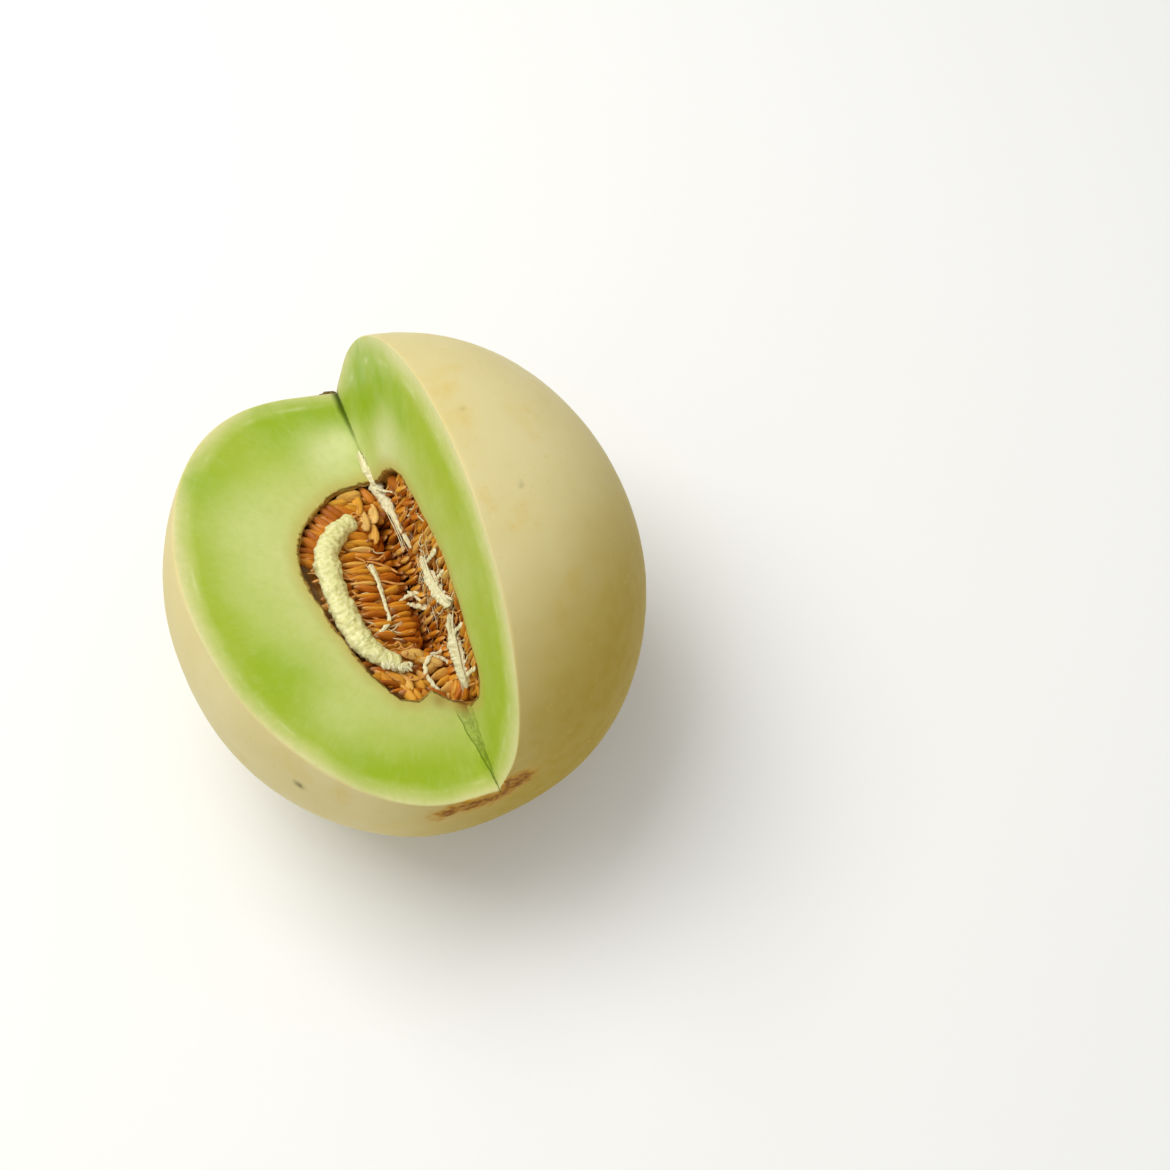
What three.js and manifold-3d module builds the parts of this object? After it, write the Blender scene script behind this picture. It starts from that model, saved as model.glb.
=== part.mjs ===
// A honeydew melon with one long wedge cut out, lying on its side on a small flat spot.
// Millimetres. +Z is up, and +Y runs from the blossom end to the stem end.
// Angles about the melon's length, called turns, start at +Z and grow towards +X.

import * as THREE from 'three';
import { mergeVertices } from 'three/addons/utils/BufferGeometryUtils.js';
import Module from 'manifold-3d';

const wasm = await Module();
wasm.setup();

// Outer form of the fruit
const EQUATOR_RADIUS = 86;
const STEM_STRETCH = 1.04;
const BLOSSOM_STRETCH = 1.102;
const STEM_FULLNESS = 2.1;
const BLOSSOM_FULLNESS = 2.0;
const EGG_LEAN = -0.012;
const STEM_DIMPLE = 0.068;
const STEM_DIMPLE_SPREAD = 22.6;
const BLOSSOM_DIMPLE = 0.0685;
const BLOSSOM_DIMPLE_SPREAD = 15.5;
const OVALITY = 0.015;
const OVAL_TURN = 37.7;
const FLAT_SPOT_DEPTH = 1.2;
const RIND_SEGMENTS = 54;
const RIND_RINGS = 36;

// Stem scar, a low corky stub in the dimple of the stem end
const SCAR_TOP_RADIUS = 4.6;
const SCAR_FOOT_RADIUS = 6.8;
const SCAR_RISE = 1.8;
const SCAR_ROOT = 6;
const SCAR_SIDES = 14;

// The two knife cuts meet on one line, a little off the fruit's own axis
const CUT_LINE_MIDDLE = new THREE.Vector3(2.88, -2.42, -0.36);
const CUT_LINE_DIRECTION = new THREE.Vector3(0.0506, 0.9986, 0.0178).normalize();
const LEFT_CUT_TURN = -63.6;
const RIGHT_CUT_TURN = 14.1;
const CUTTER_REACH = 150;
const CUTTER_LENGTH = 260;

// Seed cavity, narrower and lower towards the right-hand cut
const CAVITY_RADIUS = 39.3;
const CAVITY_NARROWING = 3.8;
const CAVITY_HALF_LENGTH = 49;
const CAVITY_CENTRE = -2;
const CAVITY_SHIFT = 12.7;
const CAVITY_SEGMENTS = 30;
const CAVITY_RINGS = 18;

// Seed beds: how far their surfaces lie below the cuts, and the furrow between them
const GAP = 0.35;
const ROOM_ROUND_SOFT_PIECES = 0.55;
const LEFT_BED_DEPTH = 4.6;
const RIGHT_BED_DEPTH = 4.4;
const LEFT_BED_EDGE = 9;
const LEFT_LEDGE_START = 34;
const LEFT_LEDGE_RUN = 1;
const LEFT_LEDGE_DEPTH = 10;
const RIGHT_BED_START = -1;
const FURROW_DEPTH = 17;
const FURROW_TURN = 199;

// One seed, flat and pointed at both ends
const SEED_LENGTH = 10.6;
const SEED_WIDTH = 4.6;
const SEED_THICKNESS = 2.1;
const SEED_SIDES = 6;
const SEED_JITTER = 0.5;
const SEED_TURN_JITTER = 9;
const RANDOM_SEED = 41;

// How soon a strand reaches its full thickness from its tip
const STRAND_END_BLUNTNESS = 2.4;

// Points nearer than this are one point
const MERGE_DISTANCE = 1e-4;

const COLOURS = {
  flesh: { color: 0xd3dc9b, roughness: 0.45, metalness: 0 },
  seeds: { color: 0xc07a2a, roughness: 0.4, metalness: 0 },
  strand: { color: 0xdfe3a6, roughness: 0.55, metalness: 0 },
  fibre: { color: 0xe9dfb4, roughness: 0.5, metalness: 0 },
};

// Axes across the cut line: ACROSS_UP is as near to +Z as it can be
const ACROSS_UP = new THREE.Vector3(0, 0, 1).projectOnPlane(CUT_LINE_DIRECTION).normalize();
const ACROSS_RIGHT = new THREE.Vector3().crossVectors(CUT_LINE_DIRECTION, ACROSS_UP);
const MIDDLE_TURN = (LEFT_CUT_TURN + RIGHT_CUT_TURN) / 2;

const radians = THREE.MathUtils.degToRad;

// Outward direction across the cut line at a turn
function outward(turn) {
  const angle = radians(turn);
  const up = ACROSS_UP.clone().multiplyScalar(Math.cos(angle));
  return up.addScaledVector(ACROSS_RIGHT, Math.sin(angle));
}

// The two cut faces, each with its direction out from the cut line and its normal into the notch
const SIDES = {
  left: { out: outward(LEFT_CUT_TURN), normal: outward(LEFT_CUT_TURN + 90) },
  right: { out: outward(RIGHT_CUT_TURN), normal: outward(RIGHT_CUT_TURN - 90) },
};

// A point on a cut face: out from the cut line, along it towards the stem, and below the face
function onCut(side, out, along, below) {
  return CUT_LINE_MIDDLE.clone()
    .addScaledVector(SIDES[side].out, out)
    .addScaledVector(CUT_LINE_DIRECTION, along)
    .addScaledVector(SIDES[side].normal, -below);
}

// A random number from 0 to 1 that is the same in every run
function randomSource(start) {
  let state = start;
  return () => {
    state = (state + 0x6d2b79f5) | 0;
    let mixed = Math.imul(state ^ (state >>> 15), 1 | state);
    mixed = (mixed + Math.imul(mixed ^ (mixed >>> 7), 61 | mixed)) ^ mixed;
    return ((mixed ^ (mixed >>> 14)) >>> 0) / 2 ** 32;
  };
}

// Turns a closed geometry into a solid that can be joined and cut
function toSolid(geometry) {
  const bare = geometry.clone();
  bare.deleteAttribute('normal');
  bare.deleteAttribute('uv');
  const merged = mergeVertices(bare, MERGE_DISTANCE);
  return new wasm.Manifold(new wasm.Mesh({
    numProp: 3,
    vertProperties: new Float32Array(merged.attributes.position.array),
    triVerts: new Uint32Array(merged.index.array),
  }));
}

// Turns a solid back into a mesh with its name and finish
function toMesh(solid, name, finish) {
  const data = solid.getMesh();
  const geometry = new THREE.BufferGeometry();
  geometry.setAttribute('position', new THREE.BufferAttribute(new Float32Array(data.vertProperties), 3));
  geometry.setIndex(new THREE.BufferAttribute(new Uint32Array(data.triVerts), 1));
  geometry.computeVertexNormals();
  const mesh = new THREE.Mesh(geometry, new THREE.MeshStandardMaterial(finish));
  mesh.name = name;
  return mesh;
}

// Moves every vertex of a geometry by a rule
function reshape(geometry, rule) {
  const position = geometry.attributes.position;
  const point = new THREE.Vector3();
  for (let i = 0; i < position.count; i += 1) {
    point.fromBufferAttribute(position, i);
    rule(point);
    position.setXYZ(i, point.x, point.y, point.z);
  }
  return geometry;
}

// Distance from the fruit's centre to its rind
function rindRadius(latitude, turn) {
  const across = Math.cos(latitude);
  const along = Math.sin(latitude);
  const power = along > 0 ? STEM_FULLNESS : BLOSSOM_FULLNESS;
  const stretch = along > 0 ? STEM_STRETCH : BLOSSOM_STRETCH;
  const form = (across ** power + (Math.abs(along) / stretch) ** power) ** (-1 / power);
  const lean = 1 + EGG_LEAN * along * across * across;
  const stemDimple = STEM_DIMPLE * Math.exp(-(((Math.PI / 2 - latitude) / radians(STEM_DIMPLE_SPREAD)) ** 2));
  const endDimple = BLOSSOM_DIMPLE
    * Math.exp(-(((Math.PI / 2 + latitude) / radians(BLOSSOM_DIMPLE_SPREAD)) ** 2));
  const oval = 1 + OVALITY * across * across * Math.cos(2 * (turn - radians(OVAL_TURN)));
  return EQUATOR_RADIUS * form * lean * (1 - stemDimple - endDimple) * oval;
}

// The whole fruit before it is cut
function wholeFruit() {
  const geometry = new THREE.SphereGeometry(1, RIND_SEGMENTS, RIND_RINGS);
  return toSolid(reshape(geometry, (point) => {
    const latitude = Math.asin(THREE.MathUtils.clamp(point.y, -1, 1));
    const turn = Math.atan2(point.x, point.z);
    point.multiplyScalar(rindRadius(latitude, turn));
  }));
}

// The stub left where the stem broke off
function stemScar() {
  const floor = rindRadius(Math.PI / 2, 0);
  const height = SCAR_RISE + SCAR_ROOT;
  const stub = new THREE.CylinderGeometry(SCAR_TOP_RADIUS, SCAR_FOOT_RADIUS, height, SCAR_SIDES);
  stub.translate(0, floor + SCAR_RISE - height / 2, 0);
  return toSolid(stub);
}

// A long prism along the cut line, from its outline across that line
function alongCutLine(corners) {
  const outline = new THREE.Shape(corners);
  const prism = new THREE.ExtrudeGeometry(outline, { depth: CUTTER_LENGTH, bevelEnabled: false });
  prism.translate(0, 0, -CUTTER_LENGTH / 2);
  const back = CUT_LINE_DIRECTION.clone().negate();
  const place = new THREE.Matrix4().makeBasis(ACROSS_RIGHT, ACROSS_UP, back);
  prism.applyMatrix4(place.setPosition(CUT_LINE_MIDDLE));
  return toSolid(prism);
}

// A corner of such an outline, at a distance and a turn
function corner(distance, turn) {
  return new THREE.Vector2(distance * Math.sin(radians(turn)), distance * Math.cos(radians(turn)));
}

// The same, lowered below the cut face on one side
function loweredCorner(side, distance, below) {
  const turn = side === 'left' ? LEFT_CUT_TURN : RIGHT_CUT_TURN;
  const normal = side === 'left' ? turn + 90 : turn - 90;
  return corner(distance, turn).add(corner(-below, normal));
}

// The wedge that was taken out
function missingWedge() {
  return alongCutLine([
    corner(0, 0),
    corner(CUTTER_REACH, LEFT_CUT_TURN),
    corner(CUTTER_REACH, MIDDLE_TURN),
    corner(CUTTER_REACH, RIGHT_CUT_TURN),
  ]);
}

// The egg-shaped seed cavity, drawn in by an inset
function cavity(inset) {
  const geometry = new THREE.SphereGeometry(1, CAVITY_SEGMENTS, CAVITY_RINGS);
  return toSolid(reshape(geometry, (point) => {
    const across = Math.hypot(point.x, point.z);
    const turn = THREE.MathUtils.radToDeg(Math.atan2(point.x, point.z));
    const lopsided = Math.sin(radians(turn - MIDDLE_TURN));
    const reach = (CAVITY_RADIUS - CAVITY_NARROWING * lopsided - inset) * across;
    const along = CAVITY_CENTRE + (CAVITY_HALF_LENGTH - inset) * point.y - CAVITY_SHIFT * lopsided * across;
    point.copy(CUT_LINE_MIDDLE)
      .addScaledVector(outward(turn), reach)
      .addScaledVector(CUT_LINE_DIRECTION, along);
  }));
}

// The bottom line of the furrow between the beds, and a line far below it
const FURROW = corner(FURROW_DEPTH, FURROW_TURN);
const FAR_BELOW = FURROW.clone().add(corner(CUTTER_REACH, MIDDLE_TURN + 180));

// What is open above the seed beds, with the thin split that parts them
function openSpace() {
  const split = corner(GAP / 2, MIDDLE_TURN + 90);
  return alongCutLine([
    loweredCorner('right', CUTTER_REACH, RIGHT_BED_DEPTH),
    loweredCorner('right', RIGHT_BED_START, RIGHT_BED_DEPTH),
    FURROW.clone().add(split),
    FAR_BELOW.clone().add(split),
    FAR_BELOW.clone().sub(split),
    FURROW.clone().sub(split),
    loweredCorner('left', LEFT_BED_EDGE, LEFT_BED_DEPTH),
    loweredCorner('left', LEFT_LEDGE_START, LEFT_BED_DEPTH),
    loweredCorner('left', LEFT_LEDGE_START + LEFT_LEDGE_RUN, LEFT_LEDGE_DEPTH),
    loweredCorner('left', CUTTER_REACH, LEFT_LEDGE_DEPTH),
  ]);
}

// The space of the left bed's core with the gap about it
function leftOfFurrow() {
  const clear = corner(GAP, MIDDLE_TURN + 90);
  return alongCutLine([
    FURROW.clone().add(clear),
    FAR_BELOW.clone().add(clear),
    loweredCorner('left', CUTTER_REACH, LEFT_BED_DEPTH - GAP),
    loweredCorner('left', LEFT_BED_EDGE - GAP, LEFT_BED_DEPTH - GAP),
  ]);
}

// Rows of seeds. Each runs from one point to another on its cut face, given as
// [out from the cut line, along it, below the face]. lean turns the seeds' length from the
// outward direction towards the stem, and flat lays them from standing on edge to lying flat.
const SEED_ROWS = [
  { side: 'left', from: [34, 22, 4.6], to: [19, 37, 4], count: 6, lean: 54, flat: 60 },
  { side: 'left', from: [25, 28, 4], to: [17, 33, 4], count: 3, lean: 50, flat: 40 },
  { side: 'left', from: [15, 41, 4], to: [12, 36, 4], count: 3, lean: 8, flat: 50 },
  { side: 'left', from: [8, 39, 4], to: [8, 31, 4], count: 2, lean: 100, flat: 65 },
  { side: 'left', from: [4.5, 34, 4.6], to: [8, 26, 4.2], count: 2, lean: 120, flat: 65 },
  { side: 'left', from: [14, 24, 3.8], to: [13, 15, 3.6], count: 4, lean: 10, flat: 30 },
  { side: 'left', from: [19, 12.5, 3.3], to: [18, -18.5, 3.3], count: 14, lean: 10, flat: 0 },
  { side: 'left', from: [9, 9, 4.2], to: [9, -21, 4.2], count: 11, lean: 0, flat: 12 },
  { side: 'left', from: [5, 22, 8], to: [4.5, -26, 8.5], count: 11, lean: -30, flat: 40 },
  { side: 'left', from: [1, 16, 12.4], to: [1, -24, 12.4], count: 9, lean: 20, flat: 50 },
  { side: 'left', from: [38.5, 17, 9], to: [35.5, -19, 9], count: 10, lean: 15, flat: 15 },
  { side: 'left', from: [24, -34.5, 4.3], to: [9, -37, 4.3], count: 3, lean: 60, flat: 62 },
  { side: 'left', from: [17, -41, 4.3], to: [7, -44, 4.3], count: 3, lean: 25, flat: 62 },
  { side: 'left', from: [11, -27, 4], to: [5, -31, 4.6], count: 3, lean: 10, flat: 50 },
  { side: 'right', from: [18, 33, 3.8], to: [6, 37, 3.8], count: 3, lean: -50, flat: 60 },
  { side: 'right', from: [20, 29, 3.3], to: [23, 15, 3.3], count: 5, lean: -22, flat: 20 },
  { side: 'right', from: [10, 30, 3.3], to: [11, 16, 3.3], count: 5, lean: -20, flat: 20 },
  { side: 'right', from: [9, 10, 3.6], to: [20, 7, 3.6], count: 2, lean: -8, flat: 70 },
  { side: 'right', from: [29, 8, 3.3], to: [30, -25, 3.3], count: 12, lean: 5, flat: 15 },
  { side: 'right', from: [27, -31, 3.3], to: [18, -46, 3.3], count: 5, lean: 10, flat: 20 },
  { side: 'right', from: [8, 4, 3.3], to: [8, -19, 3.3], count: 8, lean: -5, flat: 15 },
  { side: 'right', from: [6, -39, 3.8], to: [10, -50, 3.8], count: 3, lean: 60, flat: 60 },
  { side: 'right', from: [-4, 22, 2], to: [-4.5, -42, 2.2], count: 17, lean: -6, flat: 25 },
  { side: 'right', from: [-11, 26, -0.4], to: [-11, -36, -0.4], count: 14, lean: -20, flat: 40 },
];

// Pale strands that lie on the beds. Points are as above, for the middle of the strand.
const STRANDS = [
  {
    name: 'placenta_strand',
    side: 'left',
    finish: COLOURS.strand,
    width: 9.6,
    height: 7,
    sides: 12,
    rings: 32,
    bump: 0.06,
    points: [[12, 28.6, 2.4], [18, 26.5, 2], [26.5, 20.5, 2], [30, 12.5, 2], [31, 0, 2], [30.2, -13, 2],
      [28.6, -22, 2], [24, -27.6, 2], [16.5, -31, 2.2]],
  },
  {
    name: 'side_fibre',
    side: 'left',
    finish: COLOURS.fibre,
    width: 1.9,
    height: 1.6,
    sides: 6,
    rings: 12,
    bump: 0,
    points: [[14.2, 11, 1], [12.8, 2.7, 1], [13.2, -4, 1], [13.9, -12, 1], [20.5, -17.6, 1]],
  },
  {
    name: 'cut_line_fibre',
    side: 'right',
    finish: COLOURS.fibre,
    width: 4,
    height: 4.6,
    sides: 8,
    rings: 14,
    bump: 0,
    points: [[1.5, 43, 2.8], [0.5, 38, 2.2], [0, 30, 2], [2, 22, 2], [3, 13, 2.2]],
  },
  {
    name: 'upper_fibre',
    side: 'right',
    finish: COLOURS.fibre,
    width: 4,
    height: 4.6,
    sides: 8,
    rings: 12,
    bump: 0,
    points: [[14, 2, 2], [18, -7.5, 1.8], [18.7, -17, 1.8], [22, -22, 2.2]],
  },
  {
    name: 'lower_fibre',
    side: 'right',
    finish: COLOURS.fibre,
    width: 4.4,
    height: 4.6,
    sides: 8,
    rings: 12,
    bump: 0,
    points: [[17.5, -25.5, 2.2], [13, -31, 1.8], [9.5, -38, 1.8], [4.5, -46, 2.4]],
  },
];

// One seed with its length along X, its width along Y and its thickness along Z
function seedGeometry(allowance) {
  const seed = new THREE.SphereGeometry(0.5, SEED_SIDES, 2);
  seed.rotateX(Math.PI / 2);
  const grow = 2 * allowance;
  return seed.scale(SEED_LENGTH + grow, SEED_WIDTH + grow, SEED_THICKNESS + grow);
}

// The seeds of one row, each a little out of line
function rowOfSeeds(row, random, allowance) {
  const { out, normal } = SIDES[row.side];
  const swing = (size) => (random() * 2 - 1) * size;
  const seeds = [];
  for (let i = 0; i < row.count; i += 1) {
    const share = i / Math.max(1, row.count - 1);
    const place = row.from.map((value, k) => value + (row.to[k] - value) * share + swing(SEED_JITTER));
    const lean = radians(row.lean + swing(SEED_TURN_JITTER));
    const flat = radians(row.flat + swing(SEED_TURN_JITTER));
    const length = out.clone().multiplyScalar(Math.cos(lean))
      .addScaledVector(CUT_LINE_DIRECTION, Math.sin(lean));
    const sideways = new THREE.Vector3().crossVectors(normal, length).normalize();
    const thin = sideways.multiplyScalar(Math.cos(flat)).addScaledVector(normal, Math.sin(flat));
    const wide = new THREE.Vector3().crossVectors(thin, length);
    const matrix = new THREE.Matrix4().makeBasis(length, wide, thin);
    matrix.setPosition(onCut(row.side, ...place));
    seeds.push(toSolid(seedGeometry(allowance).applyMatrix4(matrix)));
  }
  return seeds;
}

// A soft strand with rounded ends, drawn along its points and made fatter by an allowance
function strandSolid(strand, allowance) {
  const path = new THREE.CatmullRomCurve3(strand.points.map((place) => onCut(strand.side, ...place)));
  const { normal } = SIDES[strand.side];
  const geometry = new THREE.SphereGeometry(1, strand.sides, strand.rings);
  return toSolid(reshape(geometry, (point) => {
    const share = (1 + point.y) / 2;
    const ring = Math.hypot(point.x, point.z);
    const angle = Math.atan2(point.x, point.z);
    const knobs = 1 + strand.bump * Math.cos(Math.acos(-point.y) * strand.rings);
    const full = Math.min(1, ring * STRAND_END_BLUNTNESS) * knobs;
    const margin = ring > MERGE_DISTANCE ? allowance : 0;
    const along = path.getTangentAt(share);
    const sideways = new THREE.Vector3().crossVectors(along, normal).normalize();
    point.copy(path.getPointAt(share))
      .addScaledVector(along, (share * 2 - 1) * allowance)
      .addScaledVector(sideways, (strand.width / 2 * full + margin) * Math.sin(angle))
      .addScaledVector(normal, (strand.height / 2 * full + margin) * Math.cos(angle));
  }));
}

// The largest piece of a solid that a cut may have split
function largestPiece(solid) {
  return solid.decompose().sort((a, b) => b.volume() - a.volume())[0];
}

// The fruit's flesh and rind, cut, hollowed and set down on its flat spot
function melonSolid() {
  const grown = wholeFruit().add(stemScar());
  const opened = grown.subtract(missingWedge()).subtract(cavity(0));
  const lowest = opened.boundingBox().min[2];
  const ground = new THREE.BoxGeometry(CUTTER_LENGTH, CUTTER_LENGTH, CUTTER_REACH);
  ground.translate(0, 0, lowest + FLAT_SPOT_DEPTH - CUTTER_REACH / 2);
  return largestPiece(opened.subtract(toSolid(ground)));
}

// All the seeds on one side, the same in every call but for an allowance about each
function seedsOn(side, allowance) {
  const random = randomSource(RANDOM_SEED);
  const rows = SEED_ROWS.filter((row) => row.side === side);
  return rows.flatMap((row) => rowOfSeeds(row, random, allowance));
}

// The two soft cores that hold the seeds, the left one first
function bedCores() {
  const middleX = (solid) => solid.boundingBox().min[0] + solid.boundingBox().max[0];
  const pieces = cavity(GAP).subtract(openSpace()).decompose();
  const cores = pieces.sort((a, b) => b.volume() - a.volume()).slice(0, 2);
  return cores.sort((a, b) => middleX(a) - middleX(b));
}

// One bed: its core and the seeds rooted in it, clear of what is taken away
function seedBed(side, core, taken) {
  const whole = wasm.Manifold.union([core, ...seedsOn(side, 0)]).intersect(cavity(GAP));
  return largestPiece(taken.reduce((bed, solid) => bed.subtract(solid), whole));
}

const melon = new THREE.Group();

const strandRoom = STRANDS.map((strand) => strandSolid(strand, ROOM_ROUND_SOFT_PIECES));
const leftRoom = [wasm.Manifold.union(seedsOn('left', ROOM_ROUND_SOFT_PIECES)), leftOfFurrow()];
const [leftCore, rightCore] = bedCores();

melon.add(toMesh(melonSolid(), 'melon', COLOURS.flesh));
melon.add(toMesh(seedBed('left', leftCore, strandRoom), 'seed_bed_left', COLOURS.seeds));
melon.add(toMesh(seedBed('right', rightCore, [...strandRoom, ...leftRoom]), 'seed_bed_right', COLOURS.seeds));
for (const strand of STRANDS) {
  melon.add(toMesh(strandSolid(strand, 0), strand.name, strand.finish));
}

// The origin is below the middle of the fruit, on the surface it rests on
const box = new THREE.Box3().setFromObject(melon);
const middle = box.getCenter(new THREE.Vector3());
melon.position.set(-middle.x, -middle.y, -box.min.z);

export default melon;
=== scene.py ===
"""A honeydew melon with one long wedge cut out, lying on its side on a small flat spot.

The builders work in millimetres from the middle of the fruit, along the part's own axes: +Z is up and
+Y runs towards the stem end. A turn is an angle about the fruit's length in degrees, from +Z towards +X.
Every finished mesh is written in metres in the part's frame, with its object at the origin.
"""
import logging
import math
from bisect import bisect_right
from dataclasses import dataclass, replace
from enum import Enum
from functools import cache, cached_property
from random import Random
from typing import Callable, Sequence

import bmesh
import bpy
import numpy as np
from bmesh.types import BMesh, BMEdge
from bpy.types import Material, Node, NodeSocket, NodeTree
from mathutils import Matrix, Vector, noise


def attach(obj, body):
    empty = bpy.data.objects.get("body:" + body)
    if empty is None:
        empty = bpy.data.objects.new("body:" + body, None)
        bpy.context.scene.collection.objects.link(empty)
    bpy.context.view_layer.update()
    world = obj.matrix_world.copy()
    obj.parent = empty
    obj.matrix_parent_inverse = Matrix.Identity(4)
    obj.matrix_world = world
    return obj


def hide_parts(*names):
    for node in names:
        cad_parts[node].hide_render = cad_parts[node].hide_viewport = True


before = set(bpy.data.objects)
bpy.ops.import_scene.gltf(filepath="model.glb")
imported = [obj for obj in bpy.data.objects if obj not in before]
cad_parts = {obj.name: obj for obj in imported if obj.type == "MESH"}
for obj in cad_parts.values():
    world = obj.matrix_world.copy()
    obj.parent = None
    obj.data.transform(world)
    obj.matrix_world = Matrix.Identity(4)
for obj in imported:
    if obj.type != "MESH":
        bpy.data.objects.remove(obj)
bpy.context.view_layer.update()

BODY = "root"
MM = 0.001
FRUIT_MIDDLE = Vector((0.0, 1.848, 85.125))

log = logging.getLogger("melon")

Colour = tuple[float, float, float, float]
Point = tuple[float, float, float]
Span = tuple[float, float]


def srgb(red: int, green: int, blue: int) -> Colour:
    """Turns a colour as a screen shows it into the linear colour a shader takes.

    Args:
        red: Red from 0 to 255.
        green: Green from 0 to 255.
        blue: Blue from 0 to 255.

    Returns:
        The linear colour with full alpha.
    """
    def linear(channel: int) -> float:
        """One channel made linear."""
        share = channel / 255
        return share / 12.92 if share <= 0.04045 else ((share + 0.055) / 1.055) ** 2.4

    return (linear(red), linear(green), linear(blue), 1.0)


def smooth_step(low: float, high: float, value: float) -> float:
    """Rises softly from 0 at low to 1 at high."""
    share = min(1.0, max(0.0, (value - low) / (high - low)))
    return share * share * (3 - 2 * share)


# Forms that the pieces share


@dataclass(frozen=True)
class FruitForm:
    """The outer form of the whole fruit, round its own middle."""

    equator_radius: float = 86.0
    stem_stretch: float = 1.04
    blossom_stretch: float = 1.102
    stem_fullness: float = 2.1
    blossom_fullness: float = 2.0
    egg_lean: float = -0.012
    stem_dimple: float = 0.068
    stem_dimple_spread: float = 22.6
    blossom_dimple: float = 0.0685
    blossom_dimple_spread: float = 15.5
    ovality: float = 0.015
    oval_turn: float = 37.7
    search_steps: int = 14

    def radius(self, points: np.ndarray) -> np.ndarray:
        """Distance from the middle to the rind, in the direction of each point.

        Args:
            points: Points or directions, one to a row.

        Returns:
            One radius for each row.
        """
        unit = points / np.linalg.norm(points, axis=1, keepdims=True)
        along = np.clip(unit[:, 1], -1, 1)
        across = np.sqrt(1 - along ** 2)
        latitude = np.arcsin(along)
        turn = np.arctan2(unit[:, 0], unit[:, 2])
        power = np.where(along > 0, self.stem_fullness, self.blossom_fullness)
        stretch = np.where(along > 0, self.stem_stretch, self.blossom_stretch)
        form = (across ** power + (np.abs(along) / stretch) ** power) ** (-1 / power)
        lean = 1 + self.egg_lean * along * across ** 2
        stem = (np.pi / 2 - latitude) / np.radians(self.stem_dimple_spread)
        blossom = (np.pi / 2 + latitude) / np.radians(self.blossom_dimple_spread)
        dimples = self.stem_dimple * np.exp(-stem ** 2) + self.blossom_dimple * np.exp(-blossom ** 2)
        oval = 1 + self.ovality * across ** 2 * np.cos(2 * (turn - np.radians(self.oval_turn)))
        return self.equator_radius * form * lean * (1 - dimples) * oval

    def depth(self, points: np.ndarray) -> np.ndarray:
        """How far each point lies below the rind."""
        return self.radius(points) - np.linalg.norm(points, axis=1)

    def reach(self, start: np.ndarray, directions: np.ndarray) -> np.ndarray:
        """Distance to the rind from one inner point along each direction.

        Args:
            start: The inner point.
            directions: Unit directions, one to a row.

        Returns:
            One distance for each row.
        """
        distance = np.full(len(directions), self.equator_radius)
        for _ in range(self.search_steps):
            distance = distance + self.depth(start + directions * distance[:, None])
        return distance


@dataclass(frozen=True)
class CutLine:
    """The line on which the two knife cuts meet, with the directions across it."""

    middle: Point = (2.88, -2.42, -0.36)
    direction: Point = (0.0506, 0.9986, 0.0178)
    left_turn: float = -63.6
    right_turn: float = 14.1

    @cached_property
    def start(self) -> Vector:
        """The middle of the line."""
        return Vector(self.middle)

    @cached_property
    def along(self) -> Vector:
        """Unit direction of the line, towards the stem."""
        return Vector(self.direction).normalized()

    @cached_property
    def up(self) -> Vector:
        """The direction across the line that is nearest to +Z."""
        upright = Vector((0.0, 0.0, 1.0))
        return (upright - self.along * upright.dot(self.along)).normalized()

    @cached_property
    def right(self) -> Vector:
        """The direction across the line that is nearest to +X."""
        return self.along.cross(self.up)

    @property
    def middle_turn(self) -> float:
        """The turn half way between the cuts, inside the notch."""
        return (self.left_turn + self.right_turn) / 2

    def outward(self, turn: float) -> Vector:
        """Unit direction away from the line at a turn."""
        angle = math.radians(turn)
        return self.up * math.cos(angle) + self.right * math.sin(angle)

    def directions(self, turns: np.ndarray, climbs: np.ndarray) -> np.ndarray:
        """Unit directions from turns about the line and climbs along it, both in radians.

        Args:
            turns: Turns about the line.
            climbs: Climbs along the line.

        Returns:
            One unit direction in each row.
        """
        up, right, along = (np.array(v) for v in (self.up, self.right, self.along))
        across = np.cos(turns)[:, None] * up + np.sin(turns)[:, None] * right
        return np.cos(climbs)[:, None] * across + np.sin(climbs)[:, None] * along


CUT = CutLine()


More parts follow.
